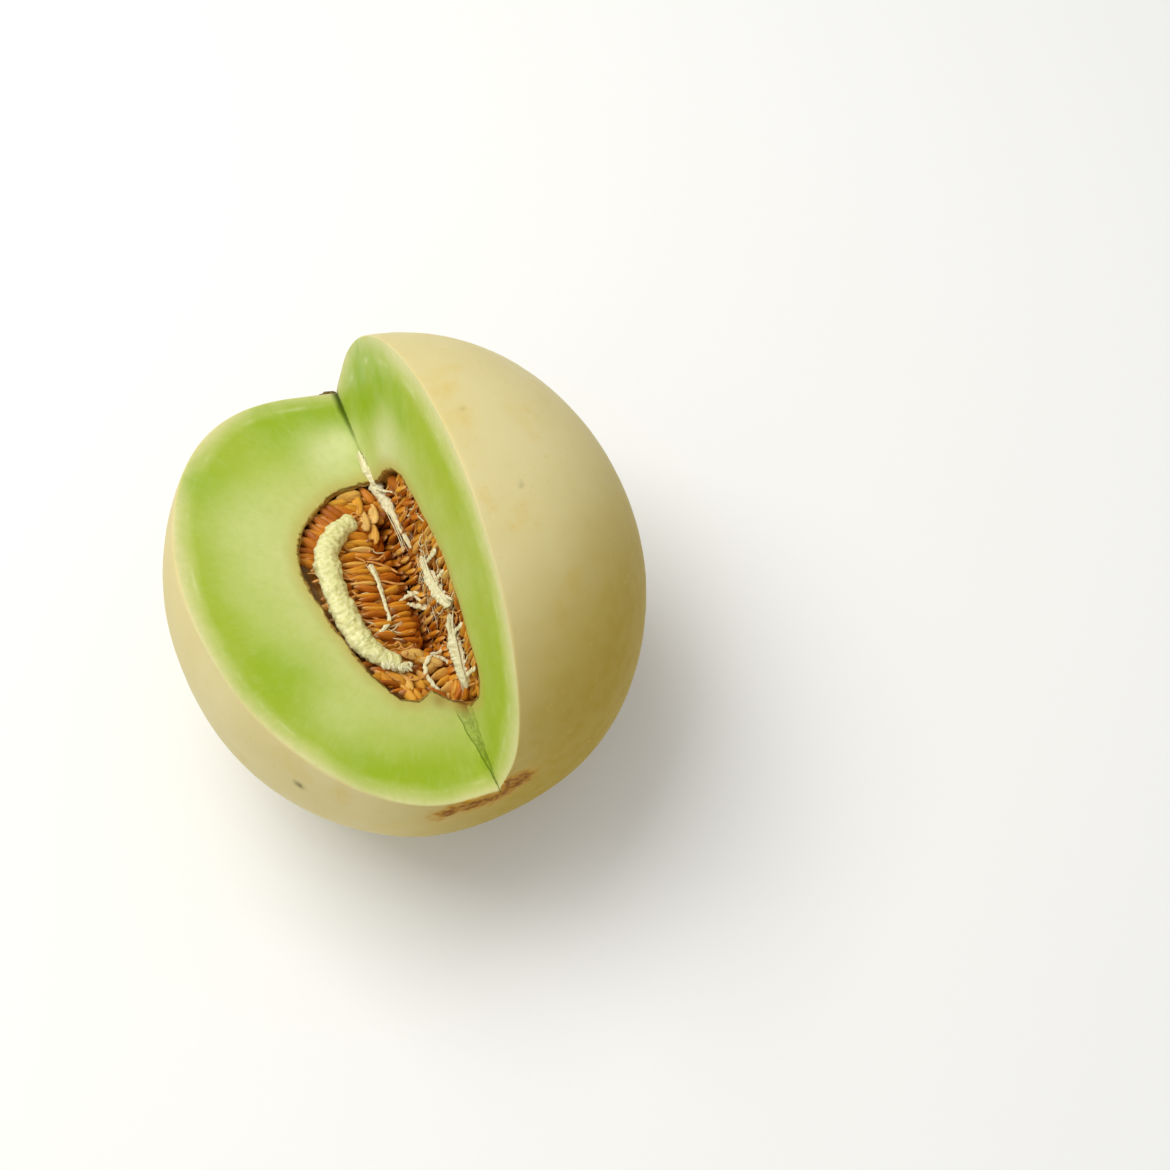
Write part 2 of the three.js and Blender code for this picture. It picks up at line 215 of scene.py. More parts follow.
@dataclass(frozen=True)
class CavityForm:
    """The egg-shaped seed cavity on the cut line, narrower and lower towards the right-hand cut.

    Where the cuts open it, its rim is less even than an egg: each rim is a list of points, out from the
    cut line and along it towards the stem, and the wall eases back to the egg away from the cuts.
    """

    radius: float = 39.3
    narrowing: float = 3.8
    half_length: float = 49.0
    centre: float = -2.0
    shift: float = 12.7
    tip_reaches: Span = (51.0, 44.5)
    left_rim: tuple[Span, ...] = (
        (10.4, -43.4), (16.4, -46.6), (23.4, -44.8), (28.4, -37.4), (32.2, -28.6), (35.8, -17.6),
        (39.0, -6.0), (41.0, 3.5), (41.6, 10.8), (38.4, 21.2), (34.4, 28.8), (29.4, 33.0), (24.0, 36.9),
        (15.2, 41.8), (6.0, 43.8))
    right_rim: tuple[Span, ...] = (
        (4.9, -54.0), (16.4, -55.9), (23.1, -53.3), (26.8, -48.5), (29.6, -37.5), (32.3, -31.3),
        (34.9, -19.3), (36.9, -13.5), (35.9, 0.9), (34.2, 9.1), (31.4, 22.0), (29.6, 28.4), (24.0, 34.3),
        (14.4, 39.7), (6.1, 41.5))
    rim_ease: float = 26.0

    def rim_reach(self, rim: tuple[Span, ...], climbs: np.ndarray) -> np.ndarray:
        """Distance from the middle of the cut line to a rim, at climbs along it in radians.

        Args:
            rim: Places of the rim, out from the line and along it.
            climbs: Climbs along the line.

        Returns:
            One distance for each climb.
        """
        places = np.array(rim)
        marks = np.concatenate([[-np.pi / 2], np.arctan2(places[:, 1], places[:, 0]), [np.pi / 2]])
        reaches = np.concatenate([self.tip_reaches[:1], np.hypot(places[:, 0], places[:, 1]),
                                  self.tip_reaches[1:]])
        return np.interp(climbs, marks, reaches)

    def reach(self, turns: np.ndarray, climbs: np.ndarray, inset: float = 0.0) -> np.ndarray:
        """Distance from the middle of the cut line to the cavity's wall.

        Args:
            turns: Turns about the line, in radians.
            climbs: Climbs along the line, in radians.
            inset: How far the wall is drawn in.

        Returns:
            One distance for each pair of angles.
        """
        full = self.egg_reach(turns, climbs, inset)
        tips = np.where(climbs > 0, self.tip_reaches[1], self.tip_reaches[0]) - inset
        near_tip = np.abs(np.sin(climbs)) ** 12
        full = full + (tips - self.egg_reach(turns, np.sign(climbs) * np.pi / 2, inset)) * near_tip
        for rim, side in ((self.left_rim, CUT.left_turn), (self.right_rim, CUT.right_turn)):
            away = np.degrees(np.abs(np.angle(np.exp(1j * (turns - math.radians(side))))))
            near = np.exp(-(away / self.rim_ease) ** 2)
            full = full + (self.rim_reach(rim, climbs) - inset - full) * near
        return full

    def egg_reach(self, turns: np.ndarray, climbs: np.ndarray, inset: float) -> np.ndarray:
        """The same distance for the even egg.

        Args:
            turns: Turns about the line, in radians.
            climbs: Climbs along the line, in radians.
            inset: How far the egg is drawn in.

        Returns:
            One distance for each pair of angles.
        """
        lopsided = np.sin(turns - math.radians(CUT.middle_turn))
        wide = self.radius - self.narrowing * lopsided - inset
        long = self.half_length - inset
        sheared = np.sin(climbs) + self.shift * lopsided * np.cos(climbs) / wide
        square = (np.cos(climbs) / wide) ** 2 + (sheared / long) ** 2
        half = -sheared * self.centre / long ** 2
        rest = (self.centre / long) ** 2 - 1
        return (-half + np.sqrt(half ** 2 - square * rest)) / square

    def room(self, points: np.ndarray, inset: float = 0.0) -> np.ndarray:
        """How far inside the cavity's wall each point lies, measured from the middle of the cut line.

        Args:
            points: One point in each row.
            inset: How far the wall is drawn in.

        Returns:
            One distance for each point, below zero outside the wall.
        """
        offsets = points - np.array(CUT.start)
        distances = np.linalg.norm(offsets, axis=1)
        climbs = np.arcsin(np.clip(offsets @ np.array(CUT.along) / distances, -1, 1))
        turns = np.arctan2(offsets @ np.array(CUT.right), offsets @ np.array(CUT.up))
        return self.reach(turns, climbs, inset) - distances


FRUIT = FruitForm()
CAVITY = CavityForm()


class Bed(Enum):
    """The four slopes that carry seeds, and a level one between them that faces out of the notch."""

    LEFT = "left"
    RIGHT = "right"
    LEFT_SLOPE = "left slope"
    RIGHT_SLOPE = "right slope"
    MIDDLE = "middle"

    @property
    def is_left(self) -> bool:
        """Whether the slope belongs to the left-hand bed."""
        return self in (Bed.LEFT, Bed.LEFT_SLOPE, Bed.MIDDLE)


@dataclass(frozen=True)
class Furrow:
    """The valley between the two beds, and how deep each bed's top lies below its cut."""

    depth: float = 17.0
    turn: float = 199.0
    left_bed_depth: float = 4.6
    right_bed_depth: float = 4.4
    left_edge: float = 9.0
    right_edge: float = -1.0

    @property
    def bottom(self) -> Vector:
        """The valley's bottom, beside the middle of the cut line."""
        return CUT.start + CUT.outward(self.turn) * self.depth

    def edge(self, bed: Bed) -> Vector:
        """Where a bed's top breaks down into the valley.

        Args:
            bed: The bed.

        Returns:
            The point beside the middle of the cut line.
        """
        if bed.is_left:
            out, normal, depth = self.left_edge, CUT.outward(CUT.left_turn + 90), self.left_bed_depth
            return CUT.start + CUT.outward(CUT.left_turn) * out - normal * depth
        out, normal, depth = self.right_edge, CUT.outward(CUT.right_turn - 90), self.right_bed_depth
        return CUT.start + CUT.outward(CUT.right_turn) * out - normal * depth


FURROW = Furrow()


@dataclass(frozen=True)
class Slope:
    """A flat slope with its own directions: out from the cut line, along it, and up off the slope."""

    start: Vector
    out: Vector
    normal: Vector

    def at(self, out: float, along: float, below: float) -> Vector:
        """The point so far out, so far along towards the stem, and so far below the slope."""
        return self.start + self.out * out + CUT.along * along - self.normal * below

    @staticmethod
    @cache
    def of(bed: Bed) -> "Slope":
        """The slope of one bed.

        Args:
            bed: Which slope.

        Returns:
            The slope. The two bed tops start from the cut faces, the two inner slopes from the furrow.
        """
        if bed is Bed.LEFT:
            return Slope(CUT.start, CUT.outward(CUT.left_turn), CUT.outward(CUT.left_turn + 90))
        if bed is Bed.RIGHT:
            return Slope(CUT.start, CUT.outward(CUT.right_turn), CUT.outward(CUT.right_turn - 90))
        if bed is Bed.MIDDLE:
            return Slope(CUT.start, CUT.outward(CUT.middle_turn + 90), CUT.outward(CUT.middle_turn))
        out = (FURROW.edge(bed) - FURROW.bottom).normalized()
        normal = CUT.along.cross(out).normalized()
        across = FURROW.edge(Bed.RIGHT) - FURROW.edge(Bed.LEFT)
        facing = across if bed.is_left else -across
        return Slope(FURROW.bottom, out, normal if normal.dot(facing) > 0 else -normal)


class SoftPath:
    """A smooth route through given points, walked by the share of its length."""

    def __init__(self, points: Sequence[Vector], steps: int = 20) -> None:
        """Draws the route.

        Args:
            points: The points it runs through.
            steps: Straight steps between two points.
        """
        ends = [points[0] * 2 - points[1], *points, points[-1] * 2 - points[-2]]
        self.walk: list[Vector] = []
        for before, first, second, after in zip(ends, ends[1:], ends[2:], ends[3:]):
            for step in range(steps):
                self.walk.append(self.between(before, first, second, after, step / steps))
        self.walk.append(points[-1].copy())
        self.marks = [0.0]
        for here, there in zip(self.walk, self.walk[1:]):
            self.marks.append(self.marks[-1] + (there - here).length)
        self.length = self.marks[-1]

    @staticmethod
    def between(before: Vector, first: Vector, second: Vector, after: Vector, share: float) -> Vector:
        """A point of the curve from first to second, bent by the points before and after them.

        Args:
            before: The point before the stretch.
            first: Where the stretch starts.
            second: Where it ends.
            after: The point after it.
            share: How far along the stretch, from 0 to 1.

        Returns:
            The point.
        """
        rise = (second - before) * 0.5
        fall = (after - first) * 0.5
        square, cube = share ** 2, share ** 3
        return (first * (2 * cube - 3 * square + 1) + rise * (cube - 2 * square + share)
                + second * (3 * square - 2 * cube) + fall * (cube - square))

    def at(self, share: float) -> Vector:
        """The point at a share of the length.

        Args:
            share: From 0 at the start to 1 at the end.

        Returns:
            The point.
        """
        distance = min(max(share, 0.0), 1.0) * self.length
        index = bisect_right(self.marks, distance) - 1
        index = min(index, len(self.walk) - 2)
        span = max(self.marks[index + 1] - self.marks[index], 1e-9)
        return self.walk[index].lerp(self.walk[index + 1], (distance - self.marks[index]) / span)

    def heading(self, share: float) -> Vector:
        """Unit direction at a share of the length."""
        margin = 0.02
        return (self.at(min(1.0, share + margin)) - self.at(max(0.0, share - margin))).normalized()


# Shader building


class Painter:
    """Adds nodes to one shader tree and links them."""

    def __init__(self, tree: NodeTree) -> None:
        """Takes the tree to add to."""
        self.tree = tree

    def node(self, kind: str, **settings: object) -> Node:
        """Adds a node of a kind and sets its properties.

        Args:
            kind: Blender's name for the kind.
            settings: Properties to set.

        Returns:
            The node.
        """
        made = self.tree.nodes.new(kind)
        for name, value in settings.items():
            setattr(made, name, value)
        return made

    def feed(self, socket: NodeSocket, value: object) -> None:
        """Links a socket to another, or sets it to a plain value.

        Args:
            socket: The input.
            value: Another socket or a plain value.
        """
        if isinstance(value, NodeSocket):
            self.tree.links.new(value, socket)
        else:
            socket.default_value = value

    def fed(self, kind: str, values: Sequence[object], **settings: object) -> Node:
        """Adds a node of a kind and feeds its usable inputs in their order.

        Args:
            kind: Blender's name for the kind.
            values: Sockets or plain values, one for each input.
            settings: Properties to set.

        Returns:
            The node.
        """
        made = self.node(kind, **settings)
        for socket, value in zip([socket for socket in made.inputs if socket.enabled], values):
            self.feed(socket, value)
        return made

    def math(self, operation: str, first: object, second: object = 0.0) -> NodeSocket:
        """Adds a Math node and returns its result."""
        return self.fed("ShaderNodeMath", (first, second), operation=operation).outputs[0]

    def times(self, first: object, second: object) -> NodeSocket:
        """Multiplies two values."""
        return self.math("MULTIPLY", first, second)

    def plus(self, first: object, second: object) -> NodeSocket:
        """Adds two values."""
        return self.math("ADD", first, second)

    def remap(self, value: object, low: object, high: object, to_low: float = 0.0,
              to_high: float = 1.0) -> NodeSocket:
        """Maps a value softly from one range to another, held inside it."""
        return self.fed("ShaderNodeMapRange", (value, low, high, to_low, to_high),
                        interpolation_type="SMOOTHSTEP", clamp=True).outputs[0]

    def blend(self, factor: object, first: object, second: object) -> NodeSocket:
        """Blends two colours and returns the result."""
        made = self.fed("ShaderNodeMix", (factor, first, second), data_type="RGBA")
        return next(socket for socket in made.outputs if socket.enabled)

    def tint(self, base: object, colour: Colour, mask: object, share: object) -> NodeSocket:
        """Lays a colour over another by a mask and a share of it."""
        return self.blend(self.times(mask, share), base, colour)

    def ramp(self, value: object, stops: Sequence[tuple[float, Colour]],
             span: float = 1.0) -> NodeSocket:
        """Colours a value by stops.

        Args:
            value: The value to colour.
            stops: Values with their colours, lowest first.
            span: The value that the ramp's end stands for.

        Returns:
            The colour socket.
        """
        made = self.node("ShaderNodeValToRGB")
        bands = made.color_ramp
        while len(bands.elements) < len(stops):
            bands.elements.new(1.0)
        for element, (place, colour) in zip(bands.elements, stops):
            element.position = place / span
            element.color = colour
        self.feed(made.inputs[0], self.math("DIVIDE", value, span))
        return made.outputs[0]

    def noise(self, vector: object, scale: object, detail: float = 2.0, roughness: float = 0.5,
              stretch: Point = (1.0, 1.0, 1.0)) -> NodeSocket:
        """Adds noise on a vector, stretched along its axes, and returns its value.

        Args:
            vector: Where the noise is read.
            scale: Finer when larger.
            detail: How many finer layers it has.
            roughness: How strong the finer layers are.
            stretch: Factor on each axis.

        Returns:
            The noise.
        """
        if stretch != (1.0, 1.0, 1.0):
            vector = self.vector_math("MULTIPLY", vector, stretch)
        return self.fed("ShaderNodeTexNoise", (vector, scale, detail, roughness)).outputs["Fac"]

    def attribute(self, name: str, output: str = "Fac") -> NodeSocket:
        """Reads an attribute of the mesh."""
        return self.node("ShaderNodeAttribute", attribute_name=name).outputs[output]

    def place(self) -> NodeSocket:
        """The point on the piece, in metres."""
        return self.node("ShaderNodeTexCoord").outputs["Object"]

    def bump_at(self, value: object, middle: object, spread: float) -> NodeSocket:
        """A soft peak of 1 where a value equals the middle, fading over the spread."""
        gap = self.math("ABSOLUTE", self.math("SUBTRACT", value, middle))
        return self.remap(gap, spread, 0.0)

    def vector_math(self, operation: str, first: object, second: object = (0.0, 0.0, 0.0),
                    output: str = "Vector") -> NodeSocket:
        """Adds a Vector Math node and returns one of its outputs."""
        return self.fed("ShaderNodeVectorMath", (first, second), operation=operation).outputs[output]

    def group(self, tree: NodeTree, *values: object) -> NodeSocket:
        """Places a node group with its own values, in order, and returns its output."""
        return self.fed("ShaderNodeGroup", values, node_tree=tree).outputs[0]

    def patches(self, scale: float, low: float, high: float) -> NodeSocket:
        """Soft patches over a piece, with the noise's two limits."""
        return self.group(mask_group("soft_mottle", 0.55, (1.0, 1.0, 1.0)), self.place(), scale, low, high)

    def lines(self, scale: float, low: float, high: float) -> NodeSocket:
        """Streaks along the grain of a piece, with the noise's two limits."""
        grain = self.attribute("grain", "Vector")
        return self.group(mask_group("long_streaks", 0.6, (0.12, 1.0, 1.0)), grain, scale, low, high)

    def lumps(self, coarse: float, fine: float, grain: float) -> NodeSocket:
        """Height of coarse lumps under a share of fine grain."""
        return self.group(relief_group(), self.place(), coarse, fine, grain)


def new_group(name: str, numbers: Sequence[str], output: str) -> tuple[Painter, list[NodeSocket]]:
    """Starts a shader node group that works on a vector and numbers.

    Args:
        name: The group's name.
        numbers: The names of its numbers, after the vector.
        output: The name of its one value output.

    Returns:
        A painter for the group, and its input sockets in order.
    """
    tree = bpy.data.node_groups.new(name, "ShaderNodeTree")
    tree.interface.new_socket(name="Vector", in_out="INPUT", socket_type="NodeSocketVector")
    for label in numbers:
        tree.interface.new_socket(name=label, in_out="INPUT", socket_type="NodeSocketFloat")
    tree.interface.new_socket(name=output, in_out="OUTPUT", socket_type="NodeSocketFloat")
    painter = Painter(tree)
    return painter, list(painter.node("NodeGroupInput").outputs)


@cache
def mask_group(name: str, roughness: float, stretch: Point) -> NodeTree:
    """Builds, once, a group of noise whose contrast is set by its two limits.

    Args:
        name: The group's name.
        roughness: How rough the noise is.
        stretch: Times its scale along each axis. Less than 1 draws it out into streaks.

    Returns:
        The group.
    """
    painter, (vector, scale, low, high, *_) = new_group(name, ("Scale", "Low", "High"), "Mask")
    patches = painter.noise(vector, scale, detail=3.0, roughness=roughness, stretch=stretch)
    painter.fed("NodeGroupOutput", (painter.remap(patches, low, high),))
    return painter.tree


@cache
def relief_group() -> NodeTree:
    """Builds, once, a group of coarse lumps under fine grain, as one height.

    Returns:
        The group.
    """
    painter, (vector, coarse, fine, grain, *_) = new_group(
        "moist_relief", ("Coarse", "Fine", "Grain"), "Height")
    lumps = painter.noise(vector, coarse)
    fine_grain = painter.times(painter.noise(vector, fine, detail=3.0, roughness=0.6), grain)
    painter.fed("NodeGroupOutput", (painter.plus(lumps, fine_grain),))
    return painter.tree


class LineView:
    """A shaded point as the cut line sees it, in millimetres: how far along, away and to which side.

    The vector star has streaks that run out from the middle of the line: its first axis is the angle
    round the middle, its second the distance from it, and its third the side.
    """

    STAR_SCALES = (46.0, 0.16, 0.05)

    def __init__(self, painter: Painter) -> None:
        """Adds the nodes.

        Args:
            painter: Adds the nodes.
        """
        start = (FRUIT_MIDDLE + CUT.start) * MM
        offset = painter.vector_math("SUBTRACT", painter.place(), start[:])
        offset = painter.vector_math("MULTIPLY", offset, (1 / MM, 1 / MM, 1 / MM))
        self.along = painter.vector_math("DOT_PRODUCT", offset, CUT.along[:], "Value")
        across = painter.vector_math("CROSS_PRODUCT", offset, CUT.along[:])
        self.gap = painter.vector_math("LENGTH", across, output="Value")
        self.side = painter.vector_math("DOT_PRODUCT", offset, CUT.outward(CUT.middle_turn + 90)[:], "Value")
        climb = painter.math("ARCTAN2", self.along, self.gap)
        distance = painter.vector_math("LENGTH", offset, output="Value")
        star = [painter.times(value, scale)
                for value, scale in zip((climb, distance, self.side), self.STAR_SCALES)]
        self.star = painter.fed("ShaderNodeCombineXYZ", star).outputs[0]


@dataclass(frozen=True)
class Surface:
    """Values of a finish that are the same all over it."""

    roughness: float = 0.5
    specular: float = 0.5
    coat: float = 0.0
    coat_roughness: float = 0.1
    glow_through: float = 0.0
    glow_depth: float = 0.003
    glow_spread: Point = (1.0, 0.9, 0.55)
    bump: float = 0.3
    bump_distance: float = 0.0003


@dataclass(frozen=True)
class Finish:
    """What every finish has: a name, a surface, and methods that say how it varies."""

    name: str
    surface: Surface

    def colour(self, painter: Painter) -> NodeSocket:
        """The base colour."""
        raise NotImplementedError

    def height(self, painter: Painter) -> NodeSocket:
        """The height of the bump."""
        raise NotImplementedError

    def rough(self, painter: Painter) -> object:
        """The roughness, one value unless a finish varies it."""
        return self.surface.roughness

    def material(self) -> Material:
        """Makes the material.

        Returns:
            The material.
        """
        made = bpy.data.materials.new(self.name)
        made.use_nodes = True
        made.node_tree.nodes.clear()
        painter = Painter(made.node_tree)
        shader = painter.node("ShaderNodeBsdfPrincipled")
        bump = painter.node("ShaderNodeBump")
        leaving = painter.node("ShaderNodeOutputMaterial")
        feeds = {
            "Base Color": self.colour(painter), "Roughness": self.rough(painter),
            "Specular IOR Level": self.surface.specular, "Coat Weight": self.surface.coat,
            "Coat Roughness": self.surface.coat_roughness,
            "Subsurface Weight": self.surface.glow_through,
            "Subsurface Scale": self.surface.glow_depth,
            "Subsurface Radius": self.surface.glow_spread, "Normal": bump.outputs[0]}
        for name, value in feeds.items():
            painter.feed(shader.inputs[name], value)
        bump.inputs["Strength"].default_value = self.surface.bump
        bump.inputs["Distance"].default_value = self.surface.bump_distance
        painter.feed(bump.inputs["Height"], self.height(painter))
        painter.feed(leaving.inputs["Surface"], shader.outputs[0])
        return made


# Finishes


@dataclass(frozen=True)
class RindFinish(Finish):
    """Smooth cream rind: yellow freckles, a green tinge, corky brown scars, painted shade at the lower right.
    """

    name: str = "cream_rind"
    surface: Surface = Surface(specular=0.1, glow_through=0.1, glow_depth=0.002, bump=0.16,
                               bump_distance=0.0004)
    cream: Colour = srgb(214, 199, 138)
    pale: Colour = srgb(219, 207, 153)
    yellow: Colour = srgb(212, 182, 84)
    shaded: Colour = srgb(172, 146, 40)
    cork: Colour = srgb(128, 72, 0)
    cork_light: Colour = srgb(186, 136, 36)
    halo: Colour = srgb(200, 164, 78)
    speck: Colour = srgb(84, 82, 22)
    freckling: float = 0.35

    def colour(self, painter: Painter) -> NodeSocket:
        """Cream and freckled, with painted shade towards the lower right, and the scars and specks on it.

        Args:
            painter: Adds the nodes.

        Returns:
            The colour.
        """
        base = painter.blend(painter.patches(14.0, 0.38, 0.68), self.cream, self.pale)
        base = painter.tint(base, self.yellow, painter.patches(46.0, 0.55, 0.74), self.freckling)
        mottled = painter.patches(150.0, 0.35, 0.7)
        # Painted shade: darker and yellower towards the lower right, barely mottled.
        base = painter.tint(base, self.shaded, painter.attribute("painted_shade_side"),
                            painter.remap(mottled, 0.0, 1.0, 0.92, 1.0))
        base = painter.tint(base, self.yellow, painter.attribute("ripe_spot"),
                            painter.remap(mottled, 0.0, 1.0, 0.35, 1.0))
        base = painter.tint(base, self.yellow, painter.patches(420.0, 0.6, 0.76), self.freckling)
        base = painter.blend(painter.attribute("halo"), base, self.halo)
        cork = painter.attribute("cork")
        corky = painter.patches(520.0, 0.38, 0.6)
        base = painter.blend(painter.remap(cork, 0.0, 0.7, 0.0, 0.85), base, self.cork_light)
        base = painter.tint(base, self.cork, painter.remap(cork, 0.5, 1.0),
                            painter.remap(corky, 0.0, 1.0, 0.25, 0.85))
        return painter.blend(painter.attribute("speck"), base, self.speck)

    def height(self, painter: Painter) -> NodeSocket:
        """A fine skin, rougher where it is corky.

        Args:
            painter: Adds the nodes.

        Returns:
            The height.
        """
        skin = painter.lumps(260.0, 1500.0, 0.35)
        cork = painter.times(painter.lumps(900.0, 2600.0, 0.8), 3.0)
        return painter.plus(skin, painter.times(painter.attribute("cork"), cork))


@dataclass(frozen=True)
class FleshFinish(Finish):
    """Moist green flesh: pale under the rind, greenest beneath it, creamy towards the seeds."""

    name: str = "moist_flesh"
    surface: Surface = Surface(roughness=0.42, specular=0.09, glow_through=0.3, glow_depth=0.004,
                               bump=0.12, bump_distance=0.0005)
    bands: tuple[tuple[float, Colour], ...] = (
        (0.0, srgb(208, 196, 142)),
        (0.8, srgb(218, 213, 156)),
        (2.6, srgb(206, 208, 134)),
        (4.8, srgb(190, 200, 104)),
        (8.0, srgb(168, 187, 60)),
        (13.0, srgb(168, 187, 60)),
        (20.0, srgb(180, 196, 86)),
        (29.0, srgb(192, 204, 112)),
        (40.0, srgb(203, 209, 130)),
        (50.0, srgb(210, 212, 142)),
    )
    green: Colour = srgb(146, 178, 22)
    pale: Colour = srgb(222, 226, 170)
    stain_and_shade: Colour = srgb(194, 176, 92)
    raw_edge: Colour = srgb(150, 104, 34)
    # Dark green, painted shade in the narrow valley where the cuts meet; it also lines the torn flap's edges.
    crevice: Colour = srgb(78, 104, 10)
    torn: Colour = srgb(118, 136, 40)
    ring_depth: float = 5.2
    ring_spread: float = 1.3
    waver: float = 5.0
    crevice_start: float = 56.0
    crevice_widths: Span = (0.4, 2.6)
    flap_tip: float = -88.0
    flap_widths: Span = (4.2, 6.0)

    def colour(self, painter: Painter) -> NodeSocket:
        """The bands by depth, with greener patches, the stained rim of the cavity and painted shade in the
        crevice.

        Args:
            painter: Adds the nodes.

        Returns:
            The colour.
        """
        line = LineView(painter)
        fibres = painter.noise(line.star, 1.0, detail=4.0, roughness=0.6)
        waver = painter.noise(painter.place(), 60.0, detail=3.0)
        depth = self.wavering_depth(painter, waver)
        base = painter.ramp(depth, self.bands, span=self.bands[-1][0])
        greener = painter.times(painter.attribute("green"),
                                painter.plus(0.6, painter.patches(34.0, 0.4, 0.7)))
        base = painter.blend(painter.math("MINIMUM", greener, 1.0), base, self.green)
        base = painter.blend(painter.attribute("pale"), base, self.pale)
        base = painter.tint(base, self.pale, painter.patches(62.0, 0.38, 0.7), 0.1)
        base = painter.tint(base, self.green, painter.patches(330.0, 0.4, 0.7), 0.1)
        ring = painter.bump_at(painter.attribute("rind_depth"), self.ring_depth, self.ring_spread)
        dots = painter.times(ring, painter.patches(110.0, 0.42, 0.78))
        base = painter.tint(base, self.pale, dots, 0.45)
        base = painter.blend(painter.remap(fibres, 0.5, 0.85, 0.0, 0.14), base, self.pale)
        base = painter.blend(painter.remap(fibres, 0.45, 0.2, 0.0, 0.12), base, self.green)
        uneven = painter.times(painter.plus(waver, painter.times(fibres, 0.35)), -4.5)
        gap = painter.plus(painter.attribute("cavity_gap"), uneven)
        base = painter.blend(painter.remap(gap, 4.5, -3.6, 0.0, 0.75), base, self.stain_and_shade)
        base = painter.blend(painter.remap(gap, -1.9, -3.1, 0.0, 0.85), base, self.raw_edge)
        base = painter.blend(painter.attribute("stained"), base, self.raw_edge)
        return self.cut_line_marks(painter, line, base)

    def wavering_depth(self, painter: Painter, waver: NodeSocket) -> NodeSocket:
        """Depth below the rind, wavering a little except right under the rind.

        Args:
            painter: Adds the nodes.
            waver: The noise that moves the depth.

        Returns:
            The depth.
        """
        depth = painter.attribute("rind_depth")
        shift = painter.times(painter.math("SUBTRACT", waver, 0.5), self.waver)
        return painter.plus(depth, painter.times(shift, painter.remap(depth, 0.0, 4.0)))

    def cut_line_marks(self, painter: Painter, line: LineView, base: NodeSocket) -> NodeSocket:
        """Painted shade in the crevice at the stem end, and the torn flap at the blossom end.

        Args:
            painter: Adds the nodes.
            line: The shaded point as the cut line sees it.
            base: The colour without these marks.

        Returns:
            The colour with them.
        """
        # Painted shade: dark green along the valley where the cuts meet, wider towards the stem end.
        rough = painter.noise(painter.place(), 240.0, detail=3.0)
        gap = painter.plus(line.gap, painter.times(painter.math("SUBTRACT", rough, 0.5), 1.6))
        opening = painter.remap(line.along, self.crevice_start, 86.0, *self.crevice_widths)
        crevice = painter.remap(painter.math("DIVIDE", gap, opening), 1.3, 0.1)
        base = painter.tint(base, self.crevice, crevice,
                            painter.remap(line.along, self.crevice_start, 82.0, 0.0, 0.9))
        left, right = (painter.remap(line.along, self.flap_tip, end, 0.1, width)
                       for end, width in zip((-54.0, -50.0), self.flap_widths))
        is_left = painter.math("LESS_THAN", line.side, 0.0)
        width = painter.plus(painter.times(is_left, left),
                             painter.times(painter.math("SUBTRACT", 1.0, is_left), right))
        reach = painter.times(painter.remap(line.along, -50.0, -58.0),
                              painter.remap(line.along, self.flap_tip - 1, self.flap_tip + 4))
        inside = painter.times(painter.remap(painter.math("DIVIDE", gap, width), 1.1, 0.8), reach)
        texture = painter.times(painter.patches(560.0, 0.42, 0.62), 0.36)
        base = painter.tint(base, self.torn, inside, painter.plus(0.16, texture))
        # The same dark green along the torn flap's edges.
        edge = painter.times(painter.bump_at(gap, width, 0.45), reach)
        return painter.tint(base, self.crevice, edge, 0.8)

    def height(self, painter: Painter) -> NodeSocket:
        """Moist cells."""
        return painter.lumps(140.0, 420.0, 0.3)

    def rough(self, painter: Painter) -> NodeSocket:
        """Wetter and drier patches."""
        return painter.remap(painter.patches(90.0, 0.35, 0.7), 0.0, 1.0, 0.36, 0.55)


@dataclass(frozen=True)
class SeedFinish(Finish):
    """Wet seeds from dark orange to yellow, streaked along their length."""

    name: str = "wet_seeds"
    surface: Surface = Surface(roughness=0.45, specular=0.26, coat=0.1, coat_roughness=0.15)
    tints: tuple[tuple[float, Colour], ...] = (
        (0.0, srgb(150, 74, 10)),
        (0.3, srgb(200, 112, 20)),
        (0.55, srgb(222, 144, 34)),
        (0.8, srgb(236, 172, 56)),
        (1.0, srgb(242, 200, 112)),
    )
    streak: Colour = srgb(120, 62, 20)
    tip: Colour = srgb(236, 206, 150)

    def colour(self, painter: Painter) -> NodeSocket:
        """Each seed's own tint, darker in streaks and paler at its tip.

        Args:
            painter: Adds the nodes.

        Returns:
            The colour.
        """
        # Each seed's tint is its own tone, and painted shade for seeds that lie deep.
        base = painter.ramp(painter.attribute("tint"), self.tints)
        base = painter.tint(base, self.streak, painter.lines(1.4, 0.42, 0.72), 0.4)
        return painter.tint(base, self.tip, painter.attribute("tip"), 0.6)

    def height(self, painter: Painter) -> NodeSocket:
        """Shallow furrows along the seed."""
        return painter.lines(2.6, 0.3, 0.7)


@dataclass(frozen=True)
class PulpFinish(Finish):
    """The wet orange-brown pulp that the seeds sit in, with painted shade in the gap by the left-hand bed."""

    name: str = "seed_pulp"
    surface: Surface = Surface(roughness=0.4, specular=0.3, coat=0.15, coat_roughness=0.15,
                               bump=0.6, bump_distance=0.0006)
    gap_shade: Colour = srgb(98, 62, 10)
    tints: tuple[tuple[float, Colour], ...] = (
        (0.0, srgb(134, 70, 12)),
        (0.35, srgb(188, 114, 34)),
        (0.65, srgb(218, 156, 74)),
        (1.0, srgb(234, 200, 134)),
    )

    def colour(self, painter: Painter) -> NodeSocket:
        """Patches of brown, orange and tan, with painted shade in the gap along the left-hand bed's outer
        edge.

        Args:
            painter: Adds the nodes.

        Returns:
            The colour.
        """
        broad = painter.noise(painter.place(), 170.0, detail=4.0, roughness=0.6)
        base = painter.ramp(painter.remap(broad, 0.3, 0.75), self.tints)
        # Painted shade, dark brown, in the gap along the left-hand bed's outer edge.
        return painter.blend(painter.attribute("under"), base, self.gap_shade)

    def height(self, painter: Painter) -> NodeSocket:
        """Stringy lumps."""
        return painter.lumps(420.0, 1400.0, 0.6)


